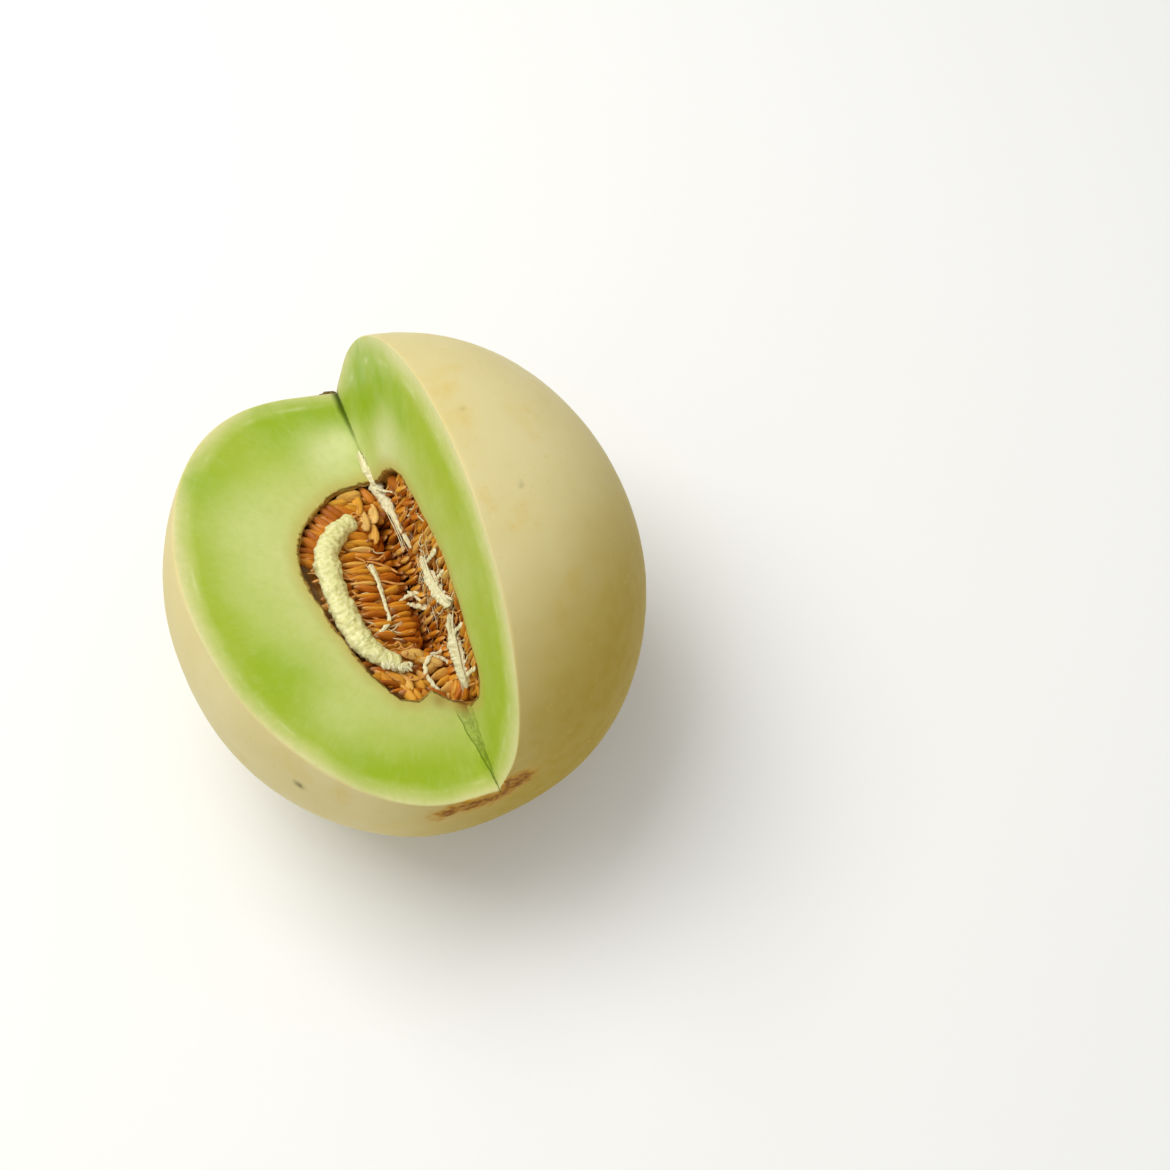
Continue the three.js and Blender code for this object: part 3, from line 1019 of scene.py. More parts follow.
@dataclass(frozen=True)
class StrandFinish(Finish):
    """Soft tissue: the thick strand of the placenta, the whiter fibres or the threads of the pulp."""

    light: Colour
    dark: Colour
    stain_and_shade: Colour

    def colour(self, painter: Painter) -> NodeSocket:
        """Pale, with darker patches and streaks, and painted shade on the underside.

        Args:
            painter: Adds the nodes.

        Returns:
            The colour.
        """
        base = painter.tint(self.light, self.dark, painter.patches(760.0, 0.42, 0.62), 0.55)
        base = painter.tint(base, self.dark, painter.lines(1.1, 0.45, 0.75), 0.35)
        # Painted shade on the side that faces the slope.
        return painter.blend(painter.attribute("under"), base, self.stain_and_shade)

    def height(self, painter: Painter) -> NodeSocket:
        """Small soft lumps."""
        return painter.lumps(700.0, 1900.0, 0.5)


# Each strand finish's third colour is the painted shade on its underside.
PLACENTA = StrandFinish(
    "pale_placenta",
    Surface(specular=0.4, coat=0.12, coat_roughness=0.25, glow_through=0.3, bump=0.45,
            bump_distance=0.0006),
    srgb(234, 230, 174), srgb(206, 200, 118), srgb(160, 130, 56))
WHITE_FIBRE = StrandFinish(
    "white_fibre", Surface(specular=0.2, bump=0.1),
    srgb(234, 230, 192), srgb(218, 202, 144), srgb(192, 152, 80))
PULP_FIBRE = StrandFinish(
    "pulp_fibre", Surface(roughness=0.42, specular=0.3, coat=0.1, coat_roughness=0.2, bump=0.4),
    srgb(230, 170, 92), srgb(190, 112, 40), srgb(132, 66, 16))


@dataclass(frozen=True)
class StubFinish(Finish):
    """The dry brown cork of the stem's stub."""

    name: str = "stem_cork"
    surface: Surface = Surface(roughness=0.75, specular=0.3, bump=0.8, bump_distance=0.0006)
    dark: Colour = srgb(84, 66, 18)
    light: Colour = srgb(146, 126, 62)

    def colour(self, painter: Painter) -> NodeSocket:
        """Dark and light cork."""
        return painter.blend(painter.patches(420.0, 0.35, 0.68), self.dark, self.light)

    def height(self, painter: Painter) -> NodeSocket:
        """Cracked cork."""
        return painter.lumps(800.0, 2400.0, 0.8)


@dataclass(frozen=True)
class FloorFinish(Finish):
    """A plain floor, nearly white, with the least hint of unevenness."""

    name: str = "pale_floor"
    surface: Surface = Surface(roughness=0.7, specular=0.2, bump=0.02)
    pale: Colour = srgb(242, 242, 240)
    grey: Colour = srgb(230, 230, 228)

    def colour(self, painter: Painter) -> NodeSocket:
        """Pale, with soft greyer patches."""
        return painter.tint(self.pale, self.grey, painter.noise(painter.place(), 3.0), 0.1)

    def height(self, painter: Painter) -> NodeSocket:
        """A fine smooth grain."""
        return painter.noise(painter.place(), 400.0)


# Mesh building


def finish_piece(shape: BMesh, name: str, materials: Sequence[Material], slot: str, *nodes: str) -> None:
    """Writes a finished shape as a piece in metres, on the body.

    Args:
        shape: The shape, in millimetres from the middle of the fruit. It is freed.
        name: The piece's name.
        materials: Its materials, in the order of its faces' numbers.
        slot: The name of its material slot; not used.
        nodes: The nodes that it stands for.
    """
    shape.transform(Matrix.Scale(MM, 4) @ Matrix.Translation(FRUIT_MIDDLE))
    mesh = bpy.data.meshes.new(name)
    shape.to_mesh(mesh)
    shape.free()
    mesh.shade_smooth()
    for material in materials:
        mesh.materials.append(material)
    piece = bpy.data.objects.new(name, mesh)
    bpy.context.scene.collection.objects.link(piece)
    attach(piece, BODY)
    if nodes:
        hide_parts(*nodes)
    log.info("%s has %d faces", name, len(mesh.polygons))


class Part(Enum):
    """The four stretches of the fruit's surface."""

    SKIN = 0
    LEFT_CUT = 1
    RIGHT_CUT = 2
    WALL = 3


@dataclass(frozen=True)
class Spot:
    """A soft round patch on a surface."""

    centre: Point
    spread: float
    strength: float = 1.0

    def at(self, points: np.ndarray) -> np.ndarray:
        """Strength of the patch at each point."""
        gap = np.linalg.norm(points - np.array(self.centre), axis=1)
        return self.strength * np.exp(-(gap / self.spread) ** 2)


@dataclass
class MelonFlesh:
    """The fruit itself: rind outside, two knife cuts, and the wall of the seed cavity."""

    skin_turns: int = 230
    climbs: int = 176
    cut_steps: int = 52
    wall_turns: int = 64
    rim_bevel: float = 0.45
    wall_bevel: float = 0.9
    merge_gap: float = 0.002
    skin_swell: float = 0.35
    skin_swell_size: float = 34.0
    skin_dents: float = 0.08
    skin_dent_size: float = 7.0
    cut_waver: float = 0.12
    cut_waver_size: float = 16.0
    ragged_rim: float = 0.7
    rim_bevel_room: float = 0.5
    crevice_depth: float = 0.8
    crevice_width: float = 0.3
    crevice_along: Span = (52.0, 66.0)
    cork_rise: float = 0.5
    cork_grain: float = 1.6
    torn_rise: float = 0.4
    torn_grain: float = 3.0
    torn_root: Span = (-50.0, -56.0)
    torn_tip: Span = (-88.0, -82.0)
    torn_width: Span = (7.0, 3.0)
    scar_route: tuple[Point, ...] = (
        (-23.0, -88.4, 1.0), (-18.2, -88.8, 1.7), (-12.8, -88.7, -0.6), (-7.4, -88.5, -3.6),
        (-2.6, -88.4, -5.0), (1.4, -88.2, -2.4), (4.2, -88.3, 1.4), (6.6, -88.4, 4.6))
    scar_width: float = 3.3
    scar_knot: Spot = Spot((4.6, -88.3, 2.4), 5.0)
    scar_core: float = 0.7
    scar_ragged: float = 2.8
    scar_ragged_size: float = 2.4
    scar_search: float = 9.0
    knot_ease: float = 1.4
    halo_width: float = 6.0
    halo_strength: float = 0.8
    specks: tuple[Spot, ...] = (
        Spot((-64.2, -61.7, 11.3), 1.6, 1.0), Spot((32.5, 11.7, 80.0), 0.9, 0.3),
        Spot((40.0, -20.5, 75.4), 1.0, 0.4), Spot((52.0, -58.0, 36.0), 1.2, 0.35))
    ripe_spots: tuple[Spot, ...] = (
        Spot((30.8, 21.4, 78.9), 4.5, 0.7), Spot((31.7, 9.1, 80.6), 4.0, 0.7),
        Spot((52.0, 8.0, 68.0), 8.0, 0.35), Spot((36.0, -30.0, 74.0), 9.0, 0.3),
        Spot((-40.0, -82.0, -8.0), 10.0, 0.3))
    green_patches: tuple[Spot, ...] = (
        Spot((-19.1, 69.7, 13.7), 13.0, 1.0), Spot((-0.6, 74.0, 4.7), 9.0, 1.0),
        Spot((-52.2, 52.5, 29.4), 12.0, 0.6), Spot((-59.4, -29.5, 29.4), 16.0, 0.55),
        Spot((-22.0, -77.0, 9.0), 10.0, 0.7), Spot((-40.0, -68.0, 19.0), 12.0, 0.35),
        Spot((17.3, 58.0, 46.1), 12.0, 1.0), Spot((15.3, 67.8, 36.1), 11.0, 1.0),
        Spot((10.0, 66.0, 20.0), 14.0, 0.8), Spot((17.7, 36.8, 53.0), 9.0, 0.6),
        Spot((8.0, -66.0, 30.0), 20.0, 0.3))
    pale_patches: tuple[Spot, ...] = (
        Spot((-5.6, 56.2, 6.4), 11.0, 0.8), Spot((2.3, 61.9, 2.7), 7.0, 0.6),
        Spot((-46.5, 34.2, 25.8), 15.0, 0.25), Spot((-47.4, 14.0, 25.5), 18.0, 0.2),
        Spot((14.0, 36.0, 35.0), 12.0, 0.5), Spot((10.6, 40.0, 23.0), 10.0, 0.7),
        Spot((16.0, -30.0, 57.0), 16.0, 0.12), Spot((-43.0, -49.4, 20.4), 12.0, 0.25))
    stains: tuple[Spot, ...] = (
        Spot((0.3, -53.9, -1.3), 3.6, 0.7), Spot((-7.9, -50.1, 2.9), 3.0, 0.5))
    right_paleness: float = 0.4
    right_blend: float = 14.0
    # The rind's painted shade: the way it grows towards the lower right, and over what range.
    painted_shade_way: Point = (0.62, -0.72, -0.3)
    painted_shade_range: Span = (0.22, 0.92)

    def build(self) -> None:
        """Builds and dresses the fruit."""
        shape = bmesh.new()
        for part in Part:
            self.add_part(shape, part)
        bmesh.ops.remove_doubles(shape, verts=shape.verts, dist=self.merge_gap)
        bmesh.ops.dissolve_degenerate(shape, dist=self.merge_gap, edges=shape.edges)
        bmesh.ops.recalc_face_normals(shape, faces=shape.faces)
        self.round_rims(shape)
        self.sculpt(shape)
        self.set_down(shape)
        self.mark(shape)
        finish_piece(shape, "melon_flesh", [RindFinish().material(), FleshFinish().material()],
                     "rind_and_flesh", "melon")

    def add_part(self, shape: BMesh, part: Part) -> None:
        """Adds one stretch of the surface as a grid bent into place.

        Args:
            shape: The bmesh to add to.
            part: Which stretch.
        """
        steps = {Part.SKIN: self.skin_turns, Part.WALL: self.wall_turns}.get(part, self.cut_steps)
        made = bmesh.ops.create_grid(shape, x_segments=steps, y_segments=self.climbs, size=0.5)["verts"]
        first = np.array([v.co.x + 0.5 for v in made])
        climbs = np.array([v.co.y for v in made]) * math.pi
        left, right = math.radians(CUT.left_turn + 360), math.radians(CUT.right_turn)
        if part in (Part.SKIN, Part.WALL):
            turns = right + (left - right) * first
            share = np.full(len(made), 1.0 if part is Part.SKIN else 0.0)
        else:
            turns = np.full(len(made), left if part is Part.LEFT_CUT else right)
            share = first
        ways = CUT.directions(turns, climbs)
        start = np.array(CUT.middle)
        inner = self.wall_reach(turns, climbs, ways)
        outer = FRUIT.reach(start, ways)
        places = start + ways * (inner + (outer - inner) * share)[:, None]
        for vert, place in zip(made, places):
            vert.co = place
        kind = shape.faces.layers.int.get("part") or shape.faces.layers.int.new("part")
        for face in {f for vert in made for f in vert.link_faces}:
            face[kind] = part.value
            face.material_index = 0 if part is Part.SKIN else 1

    def wall_reach(self, turns: np.ndarray, climbs: np.ndarray, ways: np.ndarray) -> np.ndarray:
        """Distance to the cavity's wall with its ragged waver, the same wherever stretches meet.

        Args:
            turns: Turns about the cut line, in radians.
            climbs: Climbs along it, in radians.
            ways: The same rays as unit directions.

        Returns:
            One distance for each ray.
        """
        smooth = CAVITY.reach(turns, climbs)
        waver = np.array([noise.fractal(Vector(way) * 9.0, 0.8, 2.1, 3) for way in ways])
        return smooth - self.rim_bevel_room + self.ragged_rim * waver

    def round_rims(self, shape: BMesh) -> None:
        """Rounds the knife-sharp rim and, more softly, the rim of the cavity.

        Args:
            shape: The melon's shape.
        """
        kind = shape.faces.layers.int["part"]
        cuts = {Part.LEFT_CUT.value, Part.RIGHT_CUT.value}
        for other, size in ((Part.SKIN, self.rim_bevel), (Part.WALL, self.wall_bevel)):
            rims = []
            for edge in shape.edges:
                kinds = {face[kind] for face in edge.link_faces}
                if other.value in kinds and kinds & cuts:
                    rims.append(edge)
            bmesh.ops.bevel(shape, geom=rims, offset=size, segments=2, profile=0.5, affect="EDGES",
                            material=-1)

    def sculpt(self, shape: BMesh) -> None:
        """Swells the rind, wavers the cuts, raises cork and the torn strip, and sinks the crevice.

        Args:
            shape: The melon's shape.
        """
        shape.normal_update()
        cork = self.cork_mask(shape)
        kind = shape.faces.layers.int["part"]
        deepest = CUT.outward(CUT.middle_turn + 180)
        for vert, corky in zip(shape.verts, cork):
            point = vert.co.copy()
            offset = point - CUT.start
            along = offset.dot(CUT.along)
            line_gap = (offset - CUT.along * along).length
            kinds = {face[kind] for face in vert.link_faces}
            if kinds == {Part.SKIN.value}:
                rise = self.skin_swell * noise.noise(point / self.skin_swell_size)
                rise += self.skin_dents * noise.noise(point / self.skin_dent_size)
                rise += corky * self.cork_rise * (0.7 + noise.fractal(point / self.cork_grain, 0.9, 2.0, 2))
            else:
                torn = self.torn_at(along, line_gap) * self.torn_rise
                rise = self.cut_waver * noise.noise(point / self.cut_waver_size)
                rise += torn * (0.6 + noise.noise(point / self.torn_grain))
            vert.co = point + vert.normal * rise
            if line_gap < self.crevice_width and along > self.crevice_along[0]:
                vert.co += deepest * self.crevice_depth * smooth_step(*self.crevice_along, along)
        for edge in shape.edges:
            if {face[kind] for face in edge.link_faces} == {Part.LEFT_CUT.value, Part.RIGHT_CUT.value}:
                edge.smooth = False

    def torn_at(self, along: float, line_gap: float) -> float:
        """How torn the flesh is beside the cut line, between the cavity and the blossom end."""
        between = smooth_step(*self.torn_root, along) * smooth_step(*self.torn_tip, along)
        return between * smooth_step(*self.torn_width, line_gap)

    def cork_mask(self, shape: BMesh) -> np.ndarray:
        """How corky each vertex is, from the route of the blossom-end scar.

        Args:
            shape: The melon's shape.

        Returns:
            From 0, smooth, to 1, corky, for each vertex.
        """
        points = np.array([vert.co[:] for vert in shape.verts])
        knot_gap = np.linalg.norm(points - self.scar_knot.centre, axis=1) - self.scar_knot.spread
        gap = np.minimum(self.scar_gap(points), knot_gap + self.knot_ease)
        ragged = np.zeros(len(points))
        for index in np.flatnonzero(gap < self.scar_search):
            ragged[index] = noise.fractal(Vector(points[index]) / self.scar_ragged_size, 0.8, 2.0, 3)
        outside = np.maximum(0, gap - self.scar_core + self.scar_ragged * ragged)
        return np.exp(-(outside / self.scar_width) ** 2)

    def scar_gap(self, points: np.ndarray) -> np.ndarray:
        """Distance of each point from the route of the blossom-end scar.

        Args:
            points: One point in each row.

        Returns:
            One distance for each point.
        """
        route = SoftPath([Vector(place) for place in self.scar_route], 6)
        marks = np.array([place[:] for place in route.walk])
        return np.min(np.linalg.norm(points[:, None, :] - marks[None, :, :], axis=2), axis=1)

    @staticmethod
    def set_down(shape: BMesh) -> None:
        """Flattens the spot that the fruit rests on."""
        for vert in shape.verts:
            vert.co.z = max(vert.co.z, -FRUIT_MIDDLE.z)

    def mark(self, shape: BMesh) -> None:
        """Writes what the finishes need to know about each vertex.

        Args:
            shape: The melon's shape.
        """
        points = np.array([vert.co[:] for vert in shape.verts])
        # How far each point lies towards the lower right, for the rind's painted shade.
        lower_right = (points @ np.array(self.painted_shade_way)) / FRUIT.equator_radius
        rightward = (points - CUT.middle) @ np.array(CUT.outward(CUT.middle_turn + 90)) / self.right_blend
        marks = {
            "rind_depth": FRUIT.depth(points) * (1 - self.right_paleness * np.clip(rightward, 0, 1)),
            "cavity_gap": -CAVITY.room(points),
            "cork": self.cork_mask(shape),
            "halo": self.halo_strength * np.exp(-(self.scar_gap(points) / self.halo_width) ** 2),
            "painted_shade_side": np.array([smooth_step(*self.painted_shade_range, value) for value in lower_right]),
        }
        patches = {"ripe_spot": self.ripe_spots, "speck": self.specks, "green": self.green_patches,
                   "pale": self.pale_patches, "stained": self.stains}
        for name, spots in patches.items():
            marks[name] = np.clip(sum(spot.at(points) for spot in spots), 0, 1)
        for name, values in marks.items():
            layer = shape.verts.layers.float.new(name)
            for vert, value in zip(shape.verts, values):
                vert[layer] = float(value)


@dataclass
class StemStub:
    """The corky stub where the stem broke off, cut by the left-hand cut."""

    middle: Span = (3.4, -1.6)
    top_radius: float = 4.2
    foot_radius: float = 7.4
    rise: float = 1.5
    root: float = 6.0
    sides: int = 36
    cuts: int = 5
    roughness: float = 0.5
    cut_clearance: float = 0.5

    def build(self) -> None:
        """Builds and dresses the stub."""
        floor = float(FRUIT.radius(np.array([[0.0, 1.0, 0.0]]))[0])
        height = self.rise + self.root
        shape = bmesh.new()
        bmesh.ops.create_cone(shape, cap_ends=True, segments=self.sides, radius1=self.foot_radius,
                              radius2=self.top_radius, depth=height)
        bmesh.ops.subdivide_edges(shape, edges=shape.edges, cuts=self.cuts, use_grid_fill=True)
        bmesh.ops.rotate(shape, verts=shape.verts, matrix=Matrix.Rotation(-math.pi / 2, 3, "X"))
        bmesh.ops.translate(shape, verts=shape.verts,
                            vec=(self.middle[0], floor + self.rise - height / 2, self.middle[1]))
        shape.normal_update()
        for vert in shape.verts:
            vert.co += vert.normal * self.roughness * noise.fractal(vert.co / 1.8, 0.8, 2.0, 3)
        left = Slope.of(Bed.LEFT)
        geometry = [*shape.verts, *shape.edges, *shape.faces]
        cut = bmesh.ops.bisect_plane(shape, geom=geometry, plane_co=left.at(0, 0, self.cut_clearance),
                                     plane_no=left.normal, clear_outer=True)
        rim = [edge for edge in cut["geom_cut"] if isinstance(edge, BMEdge)]
        bmesh.ops.holes_fill(shape, edges=rim)
        bmesh.ops.recalc_face_normals(shape, faces=shape.faces)
        finish_piece(shape, "stem_stub", [StubFinish().material()], "rind_and_flesh", "melon")


def new_soft_shape() -> BMesh:
    """An empty shape with the vertex layers that soft pieces and seeds use.

    Returns:
        The shape.
    """
    shape = bmesh.new()
    for name in ("tint", "tip", "under"):
        shape.verts.layers.float.new(name)
    shape.verts.layers.float_vector.new("grain")
    return shape


@dataclass(frozen=True)
class SeedForm:
    """One seed: flat, blunt at one end and pointed at the other."""

    length: float = 10.6
    width: float = 4.6
    thickness: float = 2.1
    sides: int = 9
    rings: int = 6
    taper: float = 0.34

    def add(self, shape: BMesh, place: Matrix, tint: float, random: Random) -> None:
        """Adds one seed.

        Args:
            shape: The bmesh to add to, with its layers.
            place: Turns and moves it from its own axes, length along X and thickness along Z.
            tint: From dark at 0 to yellow at 1.
            random: The source of its small differences.
        """
        made = bmesh.ops.create_uvsphere(shape, u_segments=self.sides, v_segments=self.rings,
                                         radius=0.5)["verts"]
        grain = shape.verts.layers.float_vector["grain"]
        tone = shape.verts.layers.float["tint"]
        tip = shape.verts.layers.float["tip"]
        length = self.length * random.uniform(0.84, 1.04)
        width = self.width * random.uniform(0.72, 1.04)
        bend = random.uniform(-0.8, 0.8)
        twist = random.uniform(-0.5, 0.5)
        start = random.uniform(0, 60)
        for vert in made:
            share = 2 * vert.co.z
            narrow = 1 - self.taper * share
            flat = Vector((vert.co.z * length, vert.co.x * width * narrow,
                           vert.co.y * self.thickness * narrow))
            vert[grain] = flat + Vector((start, start, 0))
            vert[tone] = tint
            vert[tip] = smooth_step(0.72, 1.0, share)
            flat.z += bend * share * share + twist * share * flat.y / self.width
            vert.co = place @ flat


@dataclass(frozen=True)
class SeedRow:
    """A row of seeds on a slope, from one [out, along, below] place to another."""

    bed: Bed
    start: Point
    end: Point
    count: int
    lean: float
    flat: float
    # From dark to yellow: the seeds' own tone, and painted shade where a row lies deep.
    tint: float = 0.55


@dataclass(frozen=True)
class SeedField:
    """A loose field of seeds that covers a slope beneath the rows."""

    bed: Bed
    out: Span
    along: Span
    below: float
    lean: float
    row_gap: float = 8.0
    seed_gap: float = 2.7
    # From dark to yellow: the seeds' own tone, and painted shade where a field lies deep.
    tint: float = 0.35


def rows_on(bed: Bed, *rows: tuple) -> tuple[SeedRow, ...]:
    """Rows of seeds on one slope, each as its start, end, count, lean, flat and tint."""
    return tuple(SeedRow(bed, *row) for row in rows)


# Each row's last number is its tint: the seeds' own tone, and painted shade in the dark tints of rows that
# lie deep.
ROWS: tuple[SeedRow, ...] = (
    *rows_on(
        Bed.LEFT,
        ((33, 23, 3.4), (19, 36, 3.0), 8, 54, 50, 0.36),
        # Painted shade: this row lies in the gap by the wall and is given a dark tint.
        ((36, 16, 5.0), (32, 24, 4.2), 4, 30, 30, 0.2),
        ((25, 28, 3.4), (17, 33, 3.4), 4, 50, 40, 0.45),
        ((17, 39, 3.0), (11, 41, 3.2), 3, 8, 55, 0.8),
        ((15, 35, 3.4), (10, 36.5, 3.4), 3, 20, 50, 0.7),
        ((7.5, 38, 3.4), (7.5, 30, 3.4), 2, 96, 60, 0.95),
        ((3.5, 33, 3.6), (6, 25, 3.6), 2, 116, 60, 0.9),
        ((3, 41, 3.2), (1, 37, 4.2), 2, 80, 50, 0.6),
        ((14, 24, 3.4), (13, 15, 3.4), 4, 10, 30, 0.7),
        ((19, 12.5, 3.1), (18, -18.5, 3.1), 15, 10, 0, 0.6),
        ((9, 9, 3.9), (9, -21, 3.9), 13, 0, 12, 0.55),
        # Painted shade: this row lies deep under the others and is given a dark tint.
        ((5, 22, 7), (4.5, -26, 7.5), 15, -30, 40, 0.24),
        ((24, -34.5, 3.9), (9, -37, 3.9), 5, 60, 44, 0.6),
        ((17, -41, 4.4), (7, -43, 4.4), 5, 60, 34, 0.5),
        ((11, -27, 3.6), (5, -31, 4.0), 3, 10, 50, 0.75),
        ((4, -33, 5.0), (0, -41, 5.0), 4, -20, 50, 0.7)),
    *rows_on(
        Bed.MIDDLE,
        ((4.0, -40.5, 3.4), (-5.0, -42.5, 3.6), 4, 60, 20, 0.7),
        ((4.6, -45.0, 2.6), (-3.0, -46.0, 3.0), 4, 40, 20, 0.6)),
    *rows_on(
        Bed.RIGHT,
        ((18, 33, 3.4), (6, 37, 3.4), 4, -50, 60, 0.45),
        ((20, 29, 3.0), (23, 15, 3.0), 6, -22, 20, 0.45),
        ((10, 30, 3.0), (11, 16, 3.0), 6, -20, 20, 0.45),
        ((9, 10, 3.2), (20, 7, 3.2), 2, -8, 70, 0.95),
        ((29, 8, 3.0), (30, -25, 3.0), 13, 5, 15, 0.72),
        ((27, -31, 3.0), (18, -46, 3.0), 7, 10, 20, 0.75),
        ((8, 4, 3.0), (8, -19, 3.0), 9, -24, 15, 0.8),
        ((18, -20, 2.4), (22, -21, 2.2), 1, 20, 60, 1.0),
        ((6, -39, 3.4), (10, -50, 3.4), 4, 60, 60, 0.75),
        ((2, -46, 2.6), (3, -51, 2.4), 2, 30, 50, 0.6),
        ((-4, 22, 1.8), (-4.5, -42, 2.0), 21, -20, 25, 0.66),
        # Painted shade: this row lies down in the furrow and is given a dark tint.
        ((-11, 26, -0.4), (-11, -36, -0.4), 18, -30, 40, 0.36)),
)

FIELDS: tuple[SeedField, ...] = (
    SeedField(Bed.LEFT, (11, 31), (-44, 40), 5.0, 12, tint=0.45),
    SeedField(Bed.LEFT, (2, 20), (33, 44), 4.8, 30, row_gap=6.0, tint=0.6),
    SeedField(Bed.RIGHT, (2, 34), (-52, 40), 4.6, 0, tint=0.66),
    # Painted shade: the fields on the two inner slopes, down in the furrow, are given dark tints.
    SeedField(Bed.LEFT_SLOPE, (4, 15), (-40, 34), 0.4, 8, tint=0.3),
    SeedField(Bed.RIGHT_SLOPE, (3, 17), (-40, 34), 0.2, -10, tint=0.36),
)


@dataclass(frozen=True)
class Mound:
    """A lump of pulp that fills one end of the valley between the beds."""

    middle: Point
    radii: Point


MOUNDS: tuple[Mound, ...] = (
    Mound((-4.0, 39.0, 6.5), (11.0, 7.5, 5.5)),
    Mound((0.0, -44.5, 6.5), (8.0, 6.5, 4.5)),
)


@dataclass
class SeedBed:
    """One bed of wet pulp with its seeds."""

    left: bool
    seed: SeedForm = SeedForm()
    random_start: int = 41
    inset: float = 0.5
    wall_room: float = 2.0
    place_jitter: float = 0.7
    turn_jitter: float = 14.0
    tint_jitter: float = 0.34
    field_depth_jitter: float = 0.4
    field_turn_jitter: float = 14.0
    field_flat: float = 25.0
    field_flat_jitter: float = 22.0
    heart_turns: Span = (-55.0, 60.0)
    heart_out: float = 20.0
    heart_along: float = -3.0
    pulp_sink: float = 0.4
    pulp_drop: float = 0.7
    pulp_lumps: float = 0.9
    pulp_lump_size: float = 2.4
    pulp_detail: int = 6
    mound_detail: int = 5
    mound_swell: float = 0.22
    mound_swell_rate: float = 2.2
    wall_halvings: int = 16
    # Where the pulp's painted shade lies, along the left-hand bed's outer edge.
    gap_shade_out: float = 40.0
    gap_shade_middle: float = 6.0
    gap_shade_bend: float = 0.008
    gap_shade_edge: Span = (-9.0, -3.0)
    gap_shade_ends: Span = (26.0, 14.0)

    def __post_init__(self) -> None:
        """Names the side and starts the random draws."""
        self.side = "left" if self.left else "right"
        self.random = Random(self.random_start + (0 if self.left else 1))

    def frame_of(self, bed: Bed, place: Sequence[float], lean: float, flat: float) -> Matrix:
        """Where one seed lies.

        Args:
            bed: The slope it lies on.
            place: Its middle as [out, along, below].
            lean: Turns its length from out towards the stem, in degrees.
            flat: Lays it from standing on edge at 0 to lying flat at 90.

        Returns:
            The matrix from the seed's own axes.
        """
        slope = Slope.of(bed)
        turn, tilt = math.radians(lean), math.radians(flat)
        length = slope.out * math.cos(turn) + CUT.along * math.sin(turn)
        sideways = slope.normal.cross(length).normalized()
        thin = sideways * math.cos(tilt) + slope.normal * math.sin(tilt)
        wide = thin.cross(length)
        turned = Matrix((length, wide, thin)).transposed().to_4x4()
        return Matrix.Translation(slope.at(*place)) @ turned

    def swing(self, size: float) -> float:
        """A random number from minus size to size."""
        return self.random.uniform(-size, size)

    def add_seed(self, shape: BMesh, bed: Bed, place: Sequence[float], lean: float, flat: float,
                 tint: float) -> None:
        """Adds one seed, a little out of line, if it is inside the cavity.

        Args:
            shape: The seeds' shape.
            bed: The slope it lies on.
            place: Its middle as [out, along, below].
            lean: Turns its length from out towards the stem, in degrees.
            flat: Lays it from standing on edge at 0 to lying flat at 90.
            tint: Its place among the tints, from 0 to 1.
        """
        moved = [value + self.swing(self.place_jitter) for value in place]
        where = self.frame_of(bed, moved, lean + self.swing(self.turn_jitter),
                              flat + self.swing(self.turn_jitter))
        tint = min(1.0, max(0.0, tint + self.swing(self.tint_jitter)))
        if CAVITY.room(np.array([where.translation]), self.inset)[0] > self.wall_room:
            self.seed.add(shape, where, tint, self.random)

    def add_row(self, shape: BMesh, row: SeedRow) -> None:
        """Adds the seeds of one row.

        Args:
            shape: The seeds' shape.
            row: The row.
        """
        for index in range(row.count):
            share = index / max(1, row.count - 1)
            place = [a + (b - a) * share for a, b in zip(row.start, row.end)]
            self.add_seed(shape, row.bed, place, row.lean, row.flat, row.tint)

    def add_field(self, shape: BMesh, field: SeedField) -> None:
        """Adds the seeds of one field, row after row.

        Args:
            shape: The seeds' shape.
            field: The field.
        """
        rows = int((field.out[1] - field.out[0]) / field.row_gap) + 1
        count = int((field.along[1] - field.along[0]) / field.seed_gap) + 1
        for row in range(rows):
            for index in range(count):
                place = (field.out[0] + field.row_gap * (row + 0.5 * (index % 2)),
                         field.along[0] + field.seed_gap * index,
                         field.below + self.swing(self.field_depth_jitter))
                self.add_seed(shape, field.bed, place, field.lean + self.swing(self.field_turn_jitter),
                              self.field_flat + self.swing(self.field_flat_jitter), field.tint)

    def build_seeds(self) -> None:
        """Builds and dresses the seeds."""
        shape = new_soft_shape()
        for field in FIELDS:
            if field.bed.is_left == self.left:
                self.add_field(shape, field)
        for row in ROWS:
            if row.bed.is_left == self.left:
                self.add_row(shape, row)
        bmesh.ops.recalc_face_normals(shape, faces=shape.faces)
        finish_piece(shape, f"seeds_{self.side}", [SeedFinish().material()], "seeds",
                     f"seed_bed_{self.side}")

    def pulp_limits(self) -> list[tuple[Vector, Vector]]:
        """The planes that bound the pulp, each as a point on it and its outward normal.

        Returns:
            One pair for each plane.
        """
        top = Slope.of(Bed.LEFT if self.left else Bed.RIGHT)
        inner = Slope.of(Bed.LEFT_SLOPE if self.left else Bed.RIGHT_SLOPE)
        depth = (FURROW.left_bed_depth if self.left else FURROW.right_bed_depth) + self.pulp_drop
        split = CUT.outward(CUT.middle_turn + 90) * (1 if self.left else -1)
        return [(top.at(0, 0, depth), top.normal), (inner.at(0, 0, self.pulp_drop), inner.normal),
                (FURROW.bottom - split * 0.2, split)]

